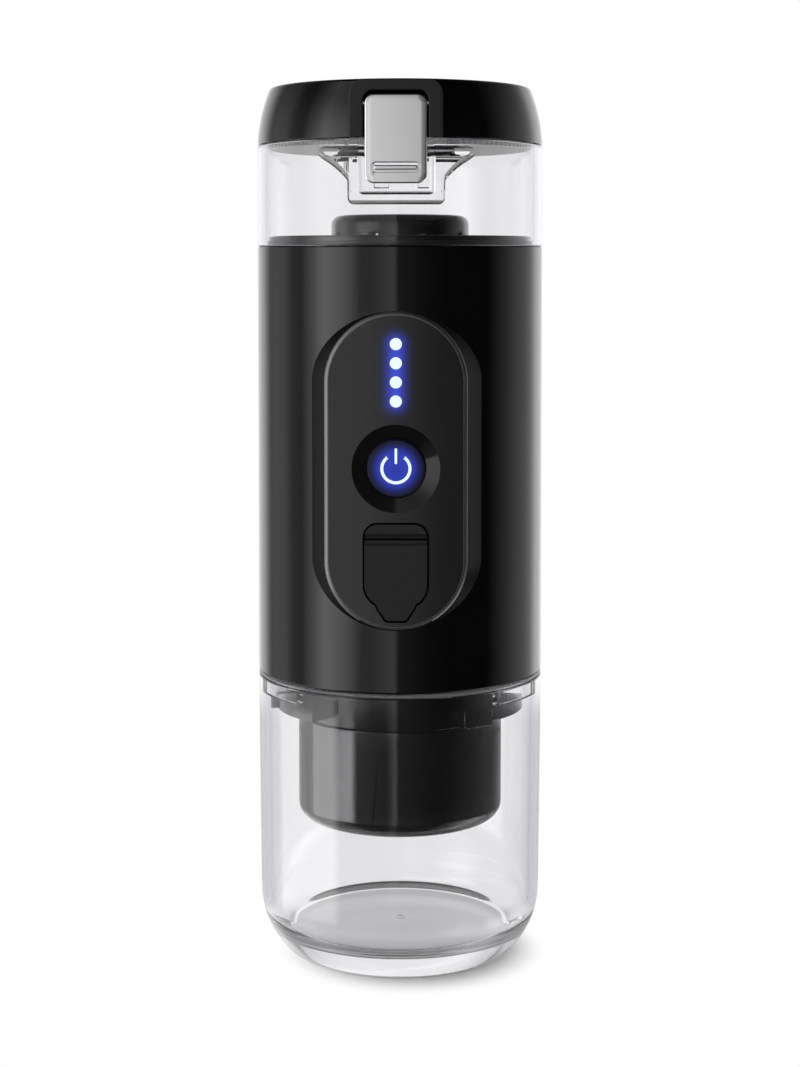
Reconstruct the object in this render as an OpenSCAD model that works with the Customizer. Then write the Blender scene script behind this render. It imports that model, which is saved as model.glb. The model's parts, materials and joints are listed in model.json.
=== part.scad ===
// Portable coffee machine: a clear cup below, a black powered housing on it, and a clear
// water tank with a hinged, latched lid on top.
// Millimetres. +Z is up, the front faces -Y and the origin is the centre of the cup's foot.

/* [Overall] */
// Outer diameter of the cup top, the housing and the tank
body_d = 70; // [68:0.5:76]
// Height of the cup
cup_h = 68.5; // [62:0.5:90]
// Height of the seal ring between the cup and the housing
cup_seal_h = 1; // [0.6:0.1:1.6]
// Height of the housing sleeve
housing_h = 104; // [102:0.5:120]
// Height of the clear tank wall
tank_h = 24.5; // [22:0.5:36]
// Height of the lid
lid_h = 14; // [13:0.5:18]

/* [Cup] */
// Wall of the cup
cup_wall = 2.4; // [1.8:0.1:2.8]
// Thickness of the cup's base
cup_floor = 6; // [3:0.5:9]
// How much the cup narrows from its rim to its shoulder, on the radius
cup_taper = 0.5; // [0.2:0.1:1]
// Height of the rounded base
cup_shoulder_h = 15; // [12:0.5:18]
// Diameter of the flat foot
foot_d = 55.2; // [50:0.2:58]
// Inner corner radius at the cup's floor
cup_floor_round = 5.7; // [4:0.1:7]
// Angle that a bayonet lug covers
lug_angle = 30; // [24:1:34]
// Height of a bayonet lug
lug_h = 3.3; // [2.5:0.1:4]
// How far a lug stands in from the cup's wall
lug_t = 1.7; // [1.2:0.1:2.2]
// Distance from the cup's rim down to the lugs
lug_drop = 0.7; // [0.4:0.1:1.2]

/* [Collar] */
// Outer diameter of the collar
collar_d = 50.8; // [50:0.2:54]
// Height of the collar below the housing
collar_h = 10.8; // [10.4:0.1:12]
// Thickness of the collar's roof
collar_roof = 3.3; // [2.8:0.1:4]
// Height of a bayonet tab
tab_h = 4.2; // [3:0.1:5]
// Angle that a tab covers below its lug
tab_angle = 40; // [34:1:44]
// Angle of the tongue that turns in under the lug
tongue_angle = 14; // [8:1:18]

/* [Brew head] */
// Outer diameter of the brew head
head_d = 50.4; // [49:0.2:52]
// Height of the brew head below its seam with the collar
head_h = 26; // [24:0.5:30]
// Radius of the brew head's bottom edge
head_edge = 4; // [2:0.5:5]
// Thickness of the brew head's floor
head_floor = 3.5; // [3:0.1:5]
// Outer diameter of the neck that enters the collar
neck_d = 44.8; // [44.4:0.1:45.2]
// Height of a locking lug on the neck
neck_lug_h = 2; // [1.4:0.1:2.2]
// Number of grip flats
grip_count = 5; // [3:1:6]
// Height of a grip flat
grip_h = 23.5; // [18:0.5:23.5]
// Depth of a grip flat at the bottom edge
grip_depth = 0.75; // [0.4:0.05:1.2]
// Inner diameter of the capsule basket at its mouth
basket_d = 38; // [36:0.2:38.4]
// Wall of the capsule basket
basket_wall = 1.2; // [0.8:0.1:1.4]
// How much the basket narrows to its floor, on the radius
basket_taper = 3; // [1:0.2:4]
// Thickness of the basket's rim and floor
basket_rim = 1; // [0.8:0.1:1.4]
// Diameter of the coffee spout
spout_d = 8; // [6:0.5:12]

/* [Control panel] */
// Width of the panel's flat face
panel_w = 32.5; // [30:0.5:33]
// Height of the panel's flat face
panel_h = 73.4; // [70:0.5:76]
// Height of the panel's centre above the housing's lower edge
panel_z = 52; // [48:0.5:54]
// How far the face stands in front of the sleeve
panel_proud = 0.6; // [0.3:0.1:1.2]
// Depth of the panel from its face to its rear rim
panel_depth = 8.1; // [7.6:0.1:8.6]
// How much wider the panel is at its rear rim, on each side
panel_spread = 4.27; // [3.8:0.01:4.6]
// Thickness of the panel's face
panel_face = 2.5; // [2.2:0.1:2.8]
// Diameter of the power button
button_d = 13.3; // [10:0.1:14]
// Diameter of the dished ring round the button
button_ring_d = 20.4; // [17:0.2:22]
// Depth of the dished ring
button_dish = 1.2; // [0.8:0.1:1.4]
// Height of the button above the panel's centre
button_z = 0.7; // [0:0.1:1]
// Travel of the button
button_travel = 0.8; // [0.4:0.1:1]
// Diameter of the power symbol
symbol_d = 7.25; // [5:0.05:8]
// Stroke of the power symbol
symbol_stroke = 0.83; // [0.5:0.01:1]
// Number of status lights
led_count = 4; // [3:1:4]
// Diameter of a status light
led_d = 2.66; // [2:0.02:3]
// Distance between status lights
led_pitch = 4.4; // [4:0.1:5]
// Distance of the row's middle below the panel's top
led_drop = 13.85; // [13:0.05:15]

/* [Charging port] */
// Width of the port's cover
cover_w = 14.5; // [13:0.1:16]
// Height of the fixed strip above the fold
cover_top = 3.5; // [3:0.1:4]
// Thickness of the cover
cover_t = 1.1; // [0.8:0.1:1.2]
// Width of the port's mouth
port_w = 10; // [9.6:0.1:11]
// Height of the port's mouth
port_h = 4.2; // [4:0.1:4.6]
// Distance of the port below the fold
port_drop = 5.8; // [5:0.1:6.4]

/* [Tank] */
// Wall of the tank
tank_wall = 2.4; // [1.8:0.1:2.8]
// How far the tank's floor stands above the housing
tank_floor_h = 2.5; // [2:0.1:3.5]
// Inner width of the latch pocket
pocket_w = 17.5; // [16.5:0.1:19]
// Wall of the latch pocket
pocket_wall = 2.2; // [1.8:0.1:2.6]
// Depth of the latch pocket behind the tank's front
pocket_depth = 5.8; // [5.4:0.1:6.4]
// Height of the latch pocket below the rim
pocket_h = 12.8; // [12:0.1:14]
// Diameter of the catch pin
catch_d = 2.4; // [2:0.1:2.6]
// Distance of the catch pin below the rim
catch_drop = 2.7; // [2.6:0.1:3.2]
// Diameter of the inlet cap
cap_d = 34; // [30:0.5:38]
// Height of the inlet cap
cap_h = 5.2; // [4.5:0.1:7]

/* [Lid and latch] */
// Radius of the lid's curved side
lid_arc_r = 40; // [34:0.5:50]
// Radius of the lid's top edge
lid_edge = 1; // [0.6:0.1:1.6]
// Wall of the lid
lid_wall = 2; // [1.6:0.1:2.4]
// Width of the latch pad
bezel_w = 21.5; // [20:0.1:24]
// Height of the latch pad
bezel_h = 13.3; // [12.4:0.1:13.3]
// How far the latch pad stands in front of the lid
bezel_proud = 1.2; // [0.8:0.1:1.6]
// Width of the latch plate
latch_w = 14.3; // [12:0.1:15]
// Height of the latch plate
latch_h = 20.3; // [19:0.1:21]
// How far the latch plate reaches above the tank's rim
latch_rise = 10; // [9:0.1:10.4]
// Thickness of the latch plate
latch_t = 1; // [0.8:0.1:1.2]
// Diameter of the latch pin
latch_pin_d = 1.4; // [1.2:0.1:1.6]
// Diameter of the lid's hinge pin
hinge_pin_d = 2; // [1.6:0.1:2.4]
// Outer diameter of a hinge knuckle
hinge_d = 4.8; // [4.2:0.1:5.2]
// Width of the lid's hinge knuckle
hinge_w = 7.4; // [6:0.1:9]

/* [Housing and inside] */
// Wall of the housing sleeve
sleeve_wall = 2.2; // [1.8:0.1:2.4]
// Thickness of the housing's floor
sleeve_floor = 2.5; // [2:0.1:3]
// Thickness of a battery tab
cell_tab_t = 0.5; // [0.3:0.1:0.6]
// Diameter of the motor shaft
shaft_d = 3; // [2:0.1:3.2]
// Outer diameter of the hoses
hose_d = 5; // [4.4:0.1:5.2]
// Bore of the hoses
hose_bore = 3; // [2.4:0.1:3.2]
// Height of the heating block
block_h = 19; // [16:0.5:19.4]
// Height of the heater's cover
heater_cover_h = 26; // [25:0.5:27]
// Wall of the heater's cover
heater_cover_wall = 2.5; // [2.2:0.1:2.6]
// Thickness of a chassis deck
deck_t = 2; // [1.6:0.1:2.2]

/* [Clearances] */
// Gap round pieces that are fixed in a seat
fit_gap = 0.1; // [0.05:0.01:0.15]
// Radial gap of a pin in its bore
run_gap = 0.05; // [0.02:0.01:0.08]
// Gap between pieces that move past each other
move_gap = 0.4; // [0.3:0.05:0.5]
// Gap between flat faces that part or slide
seam_gap = 0.2; // [0.1:0.05:0.3]

/* [Hidden] */
$fn = 72;
fine = 360;

// Main radii and levels
body_r = body_d / 2;
z_house = cup_h + cup_seal_h;
z_tank = z_house + housing_h;
z_lid = z_tank + tank_h;
z_lid_low = z_lid + seam_gap;
z_top = z_lid + lid_h;
over = 1;

// Cup: the base is an arc that leaves the shoulder upright and ends on the foot
shoulder_r = body_r - cup_taper;
foot_in = shoulder_r - foot_d / 2;
base_arc_r = (foot_in * foot_in + cup_shoulder_h * cup_shoulder_h) / (2 * foot_in);
base_arc_x = shoulder_r - base_arc_r;
cup_bore_r = body_r - cup_wall;
z_lug = cup_h - lug_drop - lug_h;
lug_bite = cup_wall / 2;
LUG_TURNS = [-150, -30, 90];

// Collar and brew head
collar_r = collar_d / 2;
z_collar = z_house - collar_h;
z_roof = z_house - collar_roof;
z_tab = z_lug - seam_gap - tab_h;
tab_r = cup_bore_r - lug_t - move_gap;
tongue_r = cup_bore_r - move_gap;
tab_lead = 2;
tab_step = 0.3;
lock_turn = lug_angle / 2 + tab_lead + tongue_angle / 2;
gasket_t = 0.8;
z_rim = z_roof - gasket_t - seam_gap;
z_neck = z_rim - basket_rim;
z_seam = z_collar - seam_gap;
z_head = z_seam - head_h;
head_r = head_d / 2;
neck_r = neck_d / 2;
neck_lug_t = 1.3;
neck_lug_r = neck_r + neck_lug_t;
lip_r = neck_r + move_gap;
groove_r = neck_lug_r + move_gap;
lip_h = 2.8;
z_lip = z_collar + lip_h;
z_neck_lug = z_lip + seam_gap;
neck_lug_angle = 24;
neck_slot_angle = neck_lug_angle + 4;
neck_slot_r = neck_lug_r + seam_gap;
NECK_TURNS = [-90, 30, 150];
neck_turn = 45;
basket_r = basket_d / 2 + basket_wall;
head_bore_r = basket_r + fit_gap;
z_basket = z_head + head_floor + fit_gap;
plate_t = 1.8;
plate_r = basket_d / 2 - 1.5;
spike_l = 3;
spike_ring_r = 8;
needle_t = 1.2;

// Housing
sleeve_r = body_r - sleeve_wall;
z_sleeve_floor = z_house + sleeve_floor;

// Control panel
face_y = -body_r - panel_proud;
panel_back_y = face_y + panel_depth;
panel_in_y = face_y + panel_face;
panel_c = z_house + panel_z;
panel_rim = 1.75;
board_t = 1.2;
board_w = 26;
board_edge = 2;
board_h = panel_h - 2 * panel_rim - 2 * board_edge;
board_y = panel_back_y + 1;
post_r = 2;
post_x = board_w / 2 - 2.5;
post_z = 16;
POSTS = [[-post_x, -post_z], [post_x, -post_z], [-post_x, post_z], [post_x, post_z]];
screw_r = 1;
screw_head_r = 1.8;
screw_head_t = 1.2;
button_r = button_d / 2;
button_c = panel_c + button_z;
button_gap = move_gap / 2;
button_flange = 1;
button_flange_t = 0.8;
button_front_y = face_y + 0.4;
button_back_y = panel_in_y + fit_gap + button_flange_t;
plunger_y = button_back_y + button_travel + seam_gap;
symbol_t = 0.3;
led_c = panel_c + panel_h / 2 - led_drop;
led_chip_t = 1.4;
lens_back_y = board_y - led_chip_t - fit_gap;

// Charging port; the cover keeps its share of the panel's height
cover_fold = 157 / 734 * panel_h;
cover_drop = 189 / 734 * panel_h;
fold_z = panel_c - cover_fold;
port_c = fold_z - port_drop;
cover_back_y = face_y + cover_t;
cover_gap = 0.2;
fold_gap = 0.15;
cover_corner = 3;
cover_side = 5 / 9 * cover_drop;
cover_round = 5.2;
round_x = cover_w / 2 - cover_round;
tab_top_w = 8.6;
tab_low_w = 5.5;
tab_round = 0.9;
tab_neck = cover_side + sqrt(cover_round * cover_round - pow(tab_top_w / 2 - round_x, 2));
stub_l = 1.6;
socket_wall = 0.4;
socket_y = cover_back_y + stub_l + seam_gap;

// Inside of the housing, from the floor up; cells, motor and heater fill the room that the housing leaves
tank_stand = 5.5;
cell_gap = 0.7;
cell_d = 18.4 / 35 * body_r;
cell_l = housing_h - sleeve_floor - heater_cover_h - 2 * deck_t - 2 * cell_tab_t - tank_stand;
motor_d = 24 / 35 * body_r;
motor_l = 7 / 13 * cell_l;
pump_l = 18 / 65 * cell_l;
z_deck = z_sleeve_floor + heater_cover_h;
z_deck_top = z_deck + deck_t;
z_cells = z_deck_top + cell_tab_t;
z_upper = z_cells + cell_l + cell_tab_t;
z_upper_top = z_upper + deck_t;
deck_r = sleeve_r - move_gap;
deck_front_y = board_y + board_t + 0.5;
CELL_TURNS = [38, 90, 142];
cell_ring_r = deck_r - cell_d / 2 - cell_gap;
cell_pitch = 2 * cell_ring_r * sin((CELL_TURNS[1] - CELL_TURNS[0]) / 2);
holder_wall = 0.8 * (cell_pitch - cell_d - 2 * fit_gap);
POST_TURNS = [-25, 64, 116, 205];
post_ring_r = deck_r - 2.9;
pump_y = -6 / 35 * body_r;
mount_floor = 2;
mount_h = 8;
mount_wall = 1.55;
z_motor = z_deck_top + mount_floor;
z_pump = z_motor + motor_l;
z_pump_top = z_pump + pump_l;
motor_wall = 1;
motor_end = 1.5;
pump_r = motor_d / 2;
pump_bore_r = 17 / 24 * pump_r;
pump_floor = 2;
cam_gap = 1;
nipple_l = 6;
nipple_wall = 0.6;
bend_r = pump_r / 3;
hose_x = pump_r + bend_r + 0.5;
z_hose = z_pump + pump_l / 2;
z_heater_floor = z_sleeve_floor + 2;
z_block_top = z_heater_floor + block_h;
band_t = 1.3;
band_gap = 0.7;
heater_gap = 0.8;
heater_r = -board_y - board_t - heater_gap;
heater_bore_r = heater_r - heater_cover_wall;
block_d = 2 * (heater_bore_r - band_t - band_gap);
outlet_r = 2.5;
chassis_screw_r = 0.9;
chassis_screw_l = 5.5;
screw_room = 0.5;
chassis_screw_ring = heater_bore_r + heater_cover_wall / 2;
CHASSIS_SCREW_TURNS = [0, 180, 230, 310];
COLLAR_SCREW_TURNS = [30, 150, 270];
collar_screw_in = 4.1;
collar_screw_ring = heater_r - collar_screw_in;

// Tank
tank_bore_r = body_r - tank_wall;
z_tank_floor = z_tank + tank_floor_h;
floor_under_z = z_tank - 2;
floor_r = tank_bore_r - seam_gap;
seal_w = 1.2;
skirt_r = floor_r - 2.4;
skirt_wall = 3;
tank_screw_ring = skirt_r - skirt_wall / 2;
TANK_SCREW_TURNS = [0, 180, 225, 315];
pocket_out = pocket_w / 2 + pocket_wall;
pocket_back_y = -body_r + pocket_depth;
z_pocket = z_lid - pocket_h;
catch_y = pocket_back_y - 2.05;
catch_z = z_lid - catch_drop;
catch_reach = pocket_out + 2.5;
flare_r = 7;
flare_ledge = 0.6;
cap_edge = 2.4;
cap_wall = 2;

// Lid, liner and hinge
lid_arc_x = body_r - lid_arc_r;
lid_arc_z = z_lid - 1.5;
plug_h = 1;
plug_r = tank_bore_r - move_gap;
seal_t = 0.8;
liner_t = 2;
notch_x = pocket_out + move_gap;
notch_y = pocket_back_y + pocket_wall + move_gap;
hinge_y = body_r + 0.5;
hinge_z = z_lid + 0.5;
hinge_r = hinge_d / 2;
ear_w = 4.2;
ear_x = hinge_w / 2 + seam_gap;

// Latch
bezel_y = -body_r - bezel_proud;
bezel_corner = 3.7;
slot_gap = 0.35;
slot_rise = 0.9;
z_latch_top = z_lid + latch_rise;
z_latch = z_latch_top - latch_h;
latch_front_y = bezel_y - 0.4;
latch_back_y = latch_front_y + latch_t;
latch_corner = 2;
pivot_y = latch_back_y + 0.6;
pivot_z = z_latch_top - 2;
latch_knuckle_r = latch_pin_d / 2 + 0.6;
latch_knuckle_w = 10;
ridge_w = 10.8;
ridge_h = 2;
ridge_t = 0.3;
ridge_z = z_latch + 3.7;
hook_w = 10;
hook_h = 4;
hook_tip_y = catch_y - catch_d / 2 - seam_gap;
leaf_t = 0.3;
leaf_w = 5;

// Shared shapes
module ring(z, h, outer, inner) {
  translate([0, 0, z]) difference() {
    cylinder(h = h, r = outer);
    translate([0, 0, -over]) cylinder(h = h + 2 * over, r = inner);
  }
}

module disc(z, h, r) {
  translate([0, 0, z]) cylinder(h = h, r = r);
}

// A piece of a ring, centred on an angle
module sector(z, h, outer, inner, turn, angle) {
  translate([0, 0, z]) rotate([0, 0, turn - angle / 2]) rotate_extrude(angle = angle)
    translate([inner, 0]) square([outer - inner, h]);
}

module at_turns(turns, r) {
  for (a = turns) rotate([0, 0, a]) translate([r, 0, 0]) children();
}

module rod_x(r, x0, x1, y, z) {
  translate([x0, y, z]) rotate([0, 90, 0]) cylinder(h = x1 - x0, r = r);
}

module rod_y(r, y0, y1, x, z) {
  translate([x, y0, z]) rotate([-90, 0, 0]) cylinder(h = y1 - y0, r = r);
}

// A flat shape drawn in X and Z, from y0 back to y1
module plate_y(y0, y1) {
  translate([0, y1, 0]) rotate([90, 0, 0]) linear_extrude(y1 - y0) children();
}

module block(x0, x1, y0, y1, z0, z1) {
  translate([x0, y0, z0]) cube([x1 - x0, y1 - y0, z1 - z0]);
}

// A rectangle that stands on z with its corners rounded
module round_rect(w, z, h, corner) {
  for (x = [-w / 2 + corner, w / 2 - corner], y = [z + corner, z + h - corner])
    translate([x, y]) circle(corner);
  translate([-w / 2 + corner, z]) square([w - 2 * corner, h]);
  translate([-w / 2, z + corner]) square([w, h - 2 * corner]);
}

// A rectangle with only its top corners rounded
module arch_rect(w, z, h, corner) {
  round_rect(w, z, h, corner);
  translate([-w / 2, z]) square([w, h / 2]);
}

// A stadium that widens from its front face to its back
module stadium(w, h, y0, y1, spread) {
  for (s = [-1, 1]) translate([0, y0, panel_c + s * (h - w) / 2]) rotate([-90, 0, 0])
    cylinder(h = y1 - y0, r1 = w / 2, r2 = w / 2 + spread);
  translate([0, y0, panel_c - (h - w) / 2]) linear_extrude(h - w)
    polygon([[-w / 2, 0], [w / 2, 0], [w / 2 + spread, y1 - y0], [-w / 2 - spread, y1 - y0]]);
}

// Cup
module cup_outline() {
  polygon([[0, cup_shoulder_h], [shoulder_r, cup_shoulder_h], [body_r, cup_h], [0, cup_h]]);
  square([base_arc_x, cup_shoulder_h]);
  intersection() {
    translate([base_arc_x, cup_shoulder_h]) circle(base_arc_r);
    square([shoulder_r, cup_shoulder_h]);
  }
}

module cup_hollow() {
  low = cup_floor + cup_floor_round;
  low_r = shoulder_r - cup_wall;
  polygon([[0, low], [low_r, low], [cup_bore_r, cup_h], [cup_bore_r, cup_h + over], [0, cup_h + over]]);
  translate([0, cup_floor]) square([low_r - cup_floor_round, cup_floor_round + over]);
  translate([low_r - cup_floor_round, low]) circle(cup_floor_round);
}

module cup() {
  color([0.92, 0.93, 0.95, 0.4]) union() {
    rotate_extrude() difference() {
      cup_outline();
      cup_hollow();
    }
    for (a = LUG_TURNS) sector(z_lug, lug_h, cup_bore_r + lug_bite, cup_bore_r - lug_t, a, lug_angle);
  }
}

module cup_seal() {
  color("whitesmoke") ring(cup_h, cup_seal_h, body_r - fit_gap, cup_bore_r);
}

// Housing
module housing_sleeve() {
  color("black") difference() {
    union() {
      ring(z_house, housing_h, body_r, sleeve_r);
      disc(z_house, sleeve_floor, body_r - sleeve_wall / 2);
    }
    stadium(panel_w + 2 * fit_gap, panel_h + 2 * fit_gap, face_y, panel_back_y + fit_gap, panel_spread);
    disc(z_house - over, sleeve_floor + 2 * over, outlet_r + fit_gap);
    at_turns(COLLAR_SCREW_TURNS, collar_screw_ring)
      disc(z_house - over, sleeve_floor + 2 * over, screw_r + fit_gap);
  }
}

module control_panel() {
  color([0.1, 0.1, 0.1]) difference() {
    union() {
      difference() {
        stadium(panel_w, panel_h, face_y, panel_back_y, panel_spread);
        stadium(panel_w - 2 * panel_rim, panel_h - 2 * panel_rim, panel_in_y, panel_back_y + over, 0);
      }
      for (p = POSTS) rod_y(post_r, panel_in_y - over, board_y, p[0], panel_c + p[1]);
    }
    for (p = POSTS) rod_y(screw_r, panel_in_y, board_y + over, p[0], panel_c + p[1]);
    for (i = [0 : led_count - 1])
      rod_y(led_d / 2 + run_gap, face_y - over, panel_in_y + over, 0, led_height(i));
    translate([0, face_y, button_c]) rotate([-90, 0, 0])
      cylinder(h = button_dish, r1 = button_ring_d / 2, r2 = button_r + button_gap);
    rod_y(button_r + button_gap, face_y - over, panel_in_y + over, 0, button_c);
    plate_y(face_y - over, cover_back_y + fit_gap) translate([0, fold_z]) cover_outline(cover_gap);
    block(-port_w / 2, port_w / 2, face_y, panel_in_y + over, port_c - port_h / 2, port_c + port_h / 2);
  }
}

function led_height(i) = led_c + (i - (led_count - 1) / 2) * led_pitch;

module led_lenses() {
  bar_h = (led_count - 1) * led_pitch + 2 * led_d;
  color("white") union() {
    for (i = [0 : led_count - 1]) rod_y(led_d / 2, face_y, lens_back_y, 0, led_height(i));
    block(-led_d, led_d, panel_in_y, panel_in_y + led_d / 2, led_c - bar_h / 2, led_c + bar_h / 2);
  }
}

module control_board() {
  color("darkgreen") difference() {
    plate_y(board_y, board_y + board_t)
      translate([-board_w / 2, panel_c - board_h / 2]) square([board_w, board_h]);
    for (p = POSTS) rod_y(screw_r + fit_gap, board_y - over, board_y + board_t + over, p[0], panel_c + p[1]);
  }
}

module board_screws() {
  color("silver") for (p = POSTS) {
    rod_y(screw_r, panel_in_y + over, board_y + board_t, p[0], panel_c + p[1]);
    rod_y(screw_head_r, board_y + board_t, board_y + board_t + screw_head_t, p[0], panel_c + p[1]);
  }
}

module status_leds() {
  color("lightyellow") for (i = [0 : led_count - 1])
    plate_y(board_y - led_chip_t, board_y)
      translate([0, led_height(i)]) square([led_d, led_d * 2 / 3], center = true);
}

module tact_switch() {
  switch_w = 6;
  switch_t = 3.5;
  color("dimgray") union() {
    plate_y(board_y - switch_t, board_y) translate([0, button_c]) square(switch_w, center = true);
    rod_y(switch_w / 4, plunger_y, board_y, 0, button_c);
  }
}

module usb_socket() {
  socket_w = port_w - 1;
  socket_h = port_h - 0.9;
  mouth_w = socket_w - 2 * socket_wall;
  mouth_h = socket_h - 2 * socket_wall;
  mouth_l = 4.5;
  tongue_w = socket_w - 2.4;
  color("silver") union() {
    difference() {
      plate_y(socket_y, board_y) round_rect(socket_w, port_c - socket_h / 2, socket_h, socket_h / 2 - 0.2);
      plate_y(socket_y - over, socket_y + mouth_l)
        round_rect(mouth_w, port_c - mouth_h / 2, mouth_h, mouth_h / 2 - 0.2);
    }
    block(-tongue_w / 2, tongue_w / 2, socket_y + over, board_y, port_c - socket_wall, port_c + socket_wall);
  }
}

// Outline of the port's cover about its fold: straight sides, round shoulders, then a narrow pull tab
module cover_outline(grow) {
  half = cover_w / 2;
  for (s = [-1, 1]) {
    translate([s * (half - cover_corner), cover_top - cover_corner]) circle(cover_corner + grow);
    translate([s * round_x, -cover_side]) circle(cover_round + grow);
    translate([s * (tab_low_w / 2 - tab_round), tab_round - cover_drop]) circle(tab_round + grow);
  }
  translate([-half + cover_corner, 0]) square([cover_w - 2 * cover_corner, cover_top + grow]);
  translate([-half - grow, -cover_side]) square([cover_w + 2 * grow, cover_side + cover_top - cover_corner]);
  translate([-round_x, -cover_side - cover_round - grow]) square([2 * round_x, cover_round + grow]);
  translate([-tab_low_w / 2 + tab_round, -cover_drop - grow])
    square([tab_low_w - 2 * tab_round, tab_round + grow]);
  polygon([[-tab_top_w / 2 - grow, over - tab_neck], [tab_top_w / 2 + grow, over - tab_neck],
    [tab_top_w / 2 + grow, -tab_neck], [tab_low_w / 2 + grow, tab_round - cover_drop],
    [-tab_low_w / 2 - grow, tab_round - cover_drop], [-tab_top_w / 2 - grow, -tab_neck]]);
}

module usb_cover_anchor() {
  color([0.12, 0.12, 0.12]) plate_y(face_y, cover_back_y) translate([0, fold_z]) intersection() {
    cover_outline(0);
    translate([-cover_w, fold_gap]) square([2 * cover_w, 2 * cover_top]);
  }
}

module usb_cover_flap() {
  stub_w = port_w - 2.5;
  stub_h = port_h - 1.8;
  color([0.12, 0.12, 0.12]) union() {
    plate_y(face_y, cover_back_y) translate([0, fold_z]) intersection() {
      cover_outline(0);
      translate([-cover_w, -2 * cover_drop - fold_gap]) square([2 * cover_w, 2 * cover_drop]);
    }
    plate_y(face_y + cover_t / 2, cover_back_y + stub_l)
      translate([0, port_c]) square([stub_w, stub_h], center = true);
  }
}

module button_cap() {
  color([0.08, 0.08, 0.1]) difference() {
    union() {
      rod_y(button_r, button_front_y, button_back_y, 0, button_c);
      rod_y(button_r + button_flange, button_back_y - button_flange_t, button_back_y, 0, button_c);
    }
    plate_y(button_front_y - over, button_front_y + symbol_t) translate([0, button_c]) power_symbol();
  }
}

module power_symbol() {
  r = symbol_d / 2;
  gap_w = 3 * symbol_stroke;
  difference() {
    circle(r);
    circle(r - symbol_stroke);
    translate([-gap_w / 2, 0]) square([gap_w, 2 * r]);
  }
  translate([-symbol_stroke / 2, symbol_stroke / 2]) square([symbol_stroke, r]);
}

module button_symbol() {
  color("white") plate_y(button_front_y, button_front_y + symbol_t) translate([0, button_c]) power_symbol();
}

// Batteries
module battery_cells() {
  cap_l = 1;
  color("steelblue") at_turns(CELL_TURNS, cell_ring_r) {
    disc(z_cells, cell_l - cap_l, cell_d / 2);
    disc(z_cells + cell_l - cap_l - over, cap_l + over, cell_d / 6);
  }
}

module battery_holder() {
  open_y = cell_ring_r * sin(CELL_TURNS[0]);
  color("dimgray") difference() {
    intersection() {
      at_turns(CELL_TURNS, cell_ring_r) disc(z_cells, cell_l, cell_d / 2 + fit_gap + holder_wall);
      disc(z_cells, cell_l, deck_r);
    }
    at_turns(CELL_TURNS, cell_ring_r) disc(z_cells - over, cell_l + 2 * over, cell_d / 2 + fit_gap);
    block(-deck_r, deck_r, -deck_r, open_y, z_cells - over, z_cells + cell_l + over);
  }
}

module battery_tabs() {
  tab_r = cell_d / 4;
  strip = CELL_TURNS[1] - CELL_TURNS[0];
  color("silver") for (z = [z_deck_top, z_upper - cell_tab_t])
    sector(z, cell_tab_t, cell_ring_r + tab_r, cell_ring_r - tab_r, CELL_TURNS[1], 2 * strip + 8);
}

// Pump
module at_pump() {
  translate([0, pump_y, 0]) children();
}

module motor_can() {
  color("silver") at_pump() difference() {
    disc(z_motor, motor_l, motor_d / 2);
    disc(z_motor + motor_end, motor_l - 2 * motor_end, motor_d / 2 - motor_wall);
    disc(z_motor - over, motor_l + 2 * over, shaft_d / 2 + run_gap);
  }
}

module motor_magnets() {
  magnet_t = 1.4;
  outer = motor_d / 2 - motor_wall;
  color([0.25, 0.25, 0.27]) at_pump() for (a = [0, 180])
    sector(z_motor + 3 * motor_end, motor_l - 6 * motor_end, outer, outer - magnet_t, a, 150);
}

module motor_rotor() {
  armature_r = motor_d / 2 - motor_wall - 2;
  shaft_end = z_pump + pump_l / 2 - seam_gap;
  color("peru") at_pump() union() {
    disc(z_motor + seam_gap, shaft_end - z_motor - seam_gap, shaft_d / 2);
    disc(z_motor + 4 * motor_end, motor_l - 8 * motor_end, armature_r);
  }
}

module motor_mount() {
  color([0.15, 0.15, 0.15]) at_pump() difference() {
    disc(z_deck_top, mount_h, motor_d / 2 + fit_gap + mount_wall);
    disc(z_motor, mount_h, motor_d / 2 + fit_gap);
  }
}

module pump_head() {
  color("gainsboro") at_pump() difference() {
    union() {
      disc(z_pump, pump_l, pump_r);
      disc(z_pump_top - over, nipple_l + over, hose_bore / 2);
      translate([0, 0, z_hose]) rotate([0, 90, 0]) cylinder(h = pump_r + 0.5, r = hose_bore / 2);
    }
    disc(z_pump + pump_floor, pump_l / 2, pump_bore_r);
    disc(z_pump - over, pump_floor + 2 * over, shaft_d / 2 + run_gap);
    disc(z_pump + pump_floor, pump_l + nipple_l, hose_bore / 2 - nipple_wall);
  }
}

module pump_eccentric() {
  throw = 1.2;
  cam_r = pump_bore_r / 2 + shaft_d / 4;
  color("gold") at_pump() difference() {
    translate([throw, 0, 0])
      disc(z_pump + pump_floor + cam_gap, pump_l / 2 - pump_floor - 2 * cam_gap, cam_r);
    disc(z_pump, pump_l, shaft_d / 2);
  }
}

module pump_inlet_hose() {
  low = z_pump_top + seam_gap;
  color("lightgray") at_pump() ring(low, floor_under_z - low, hose_d / 2, hose_bore / 2);
}

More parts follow.
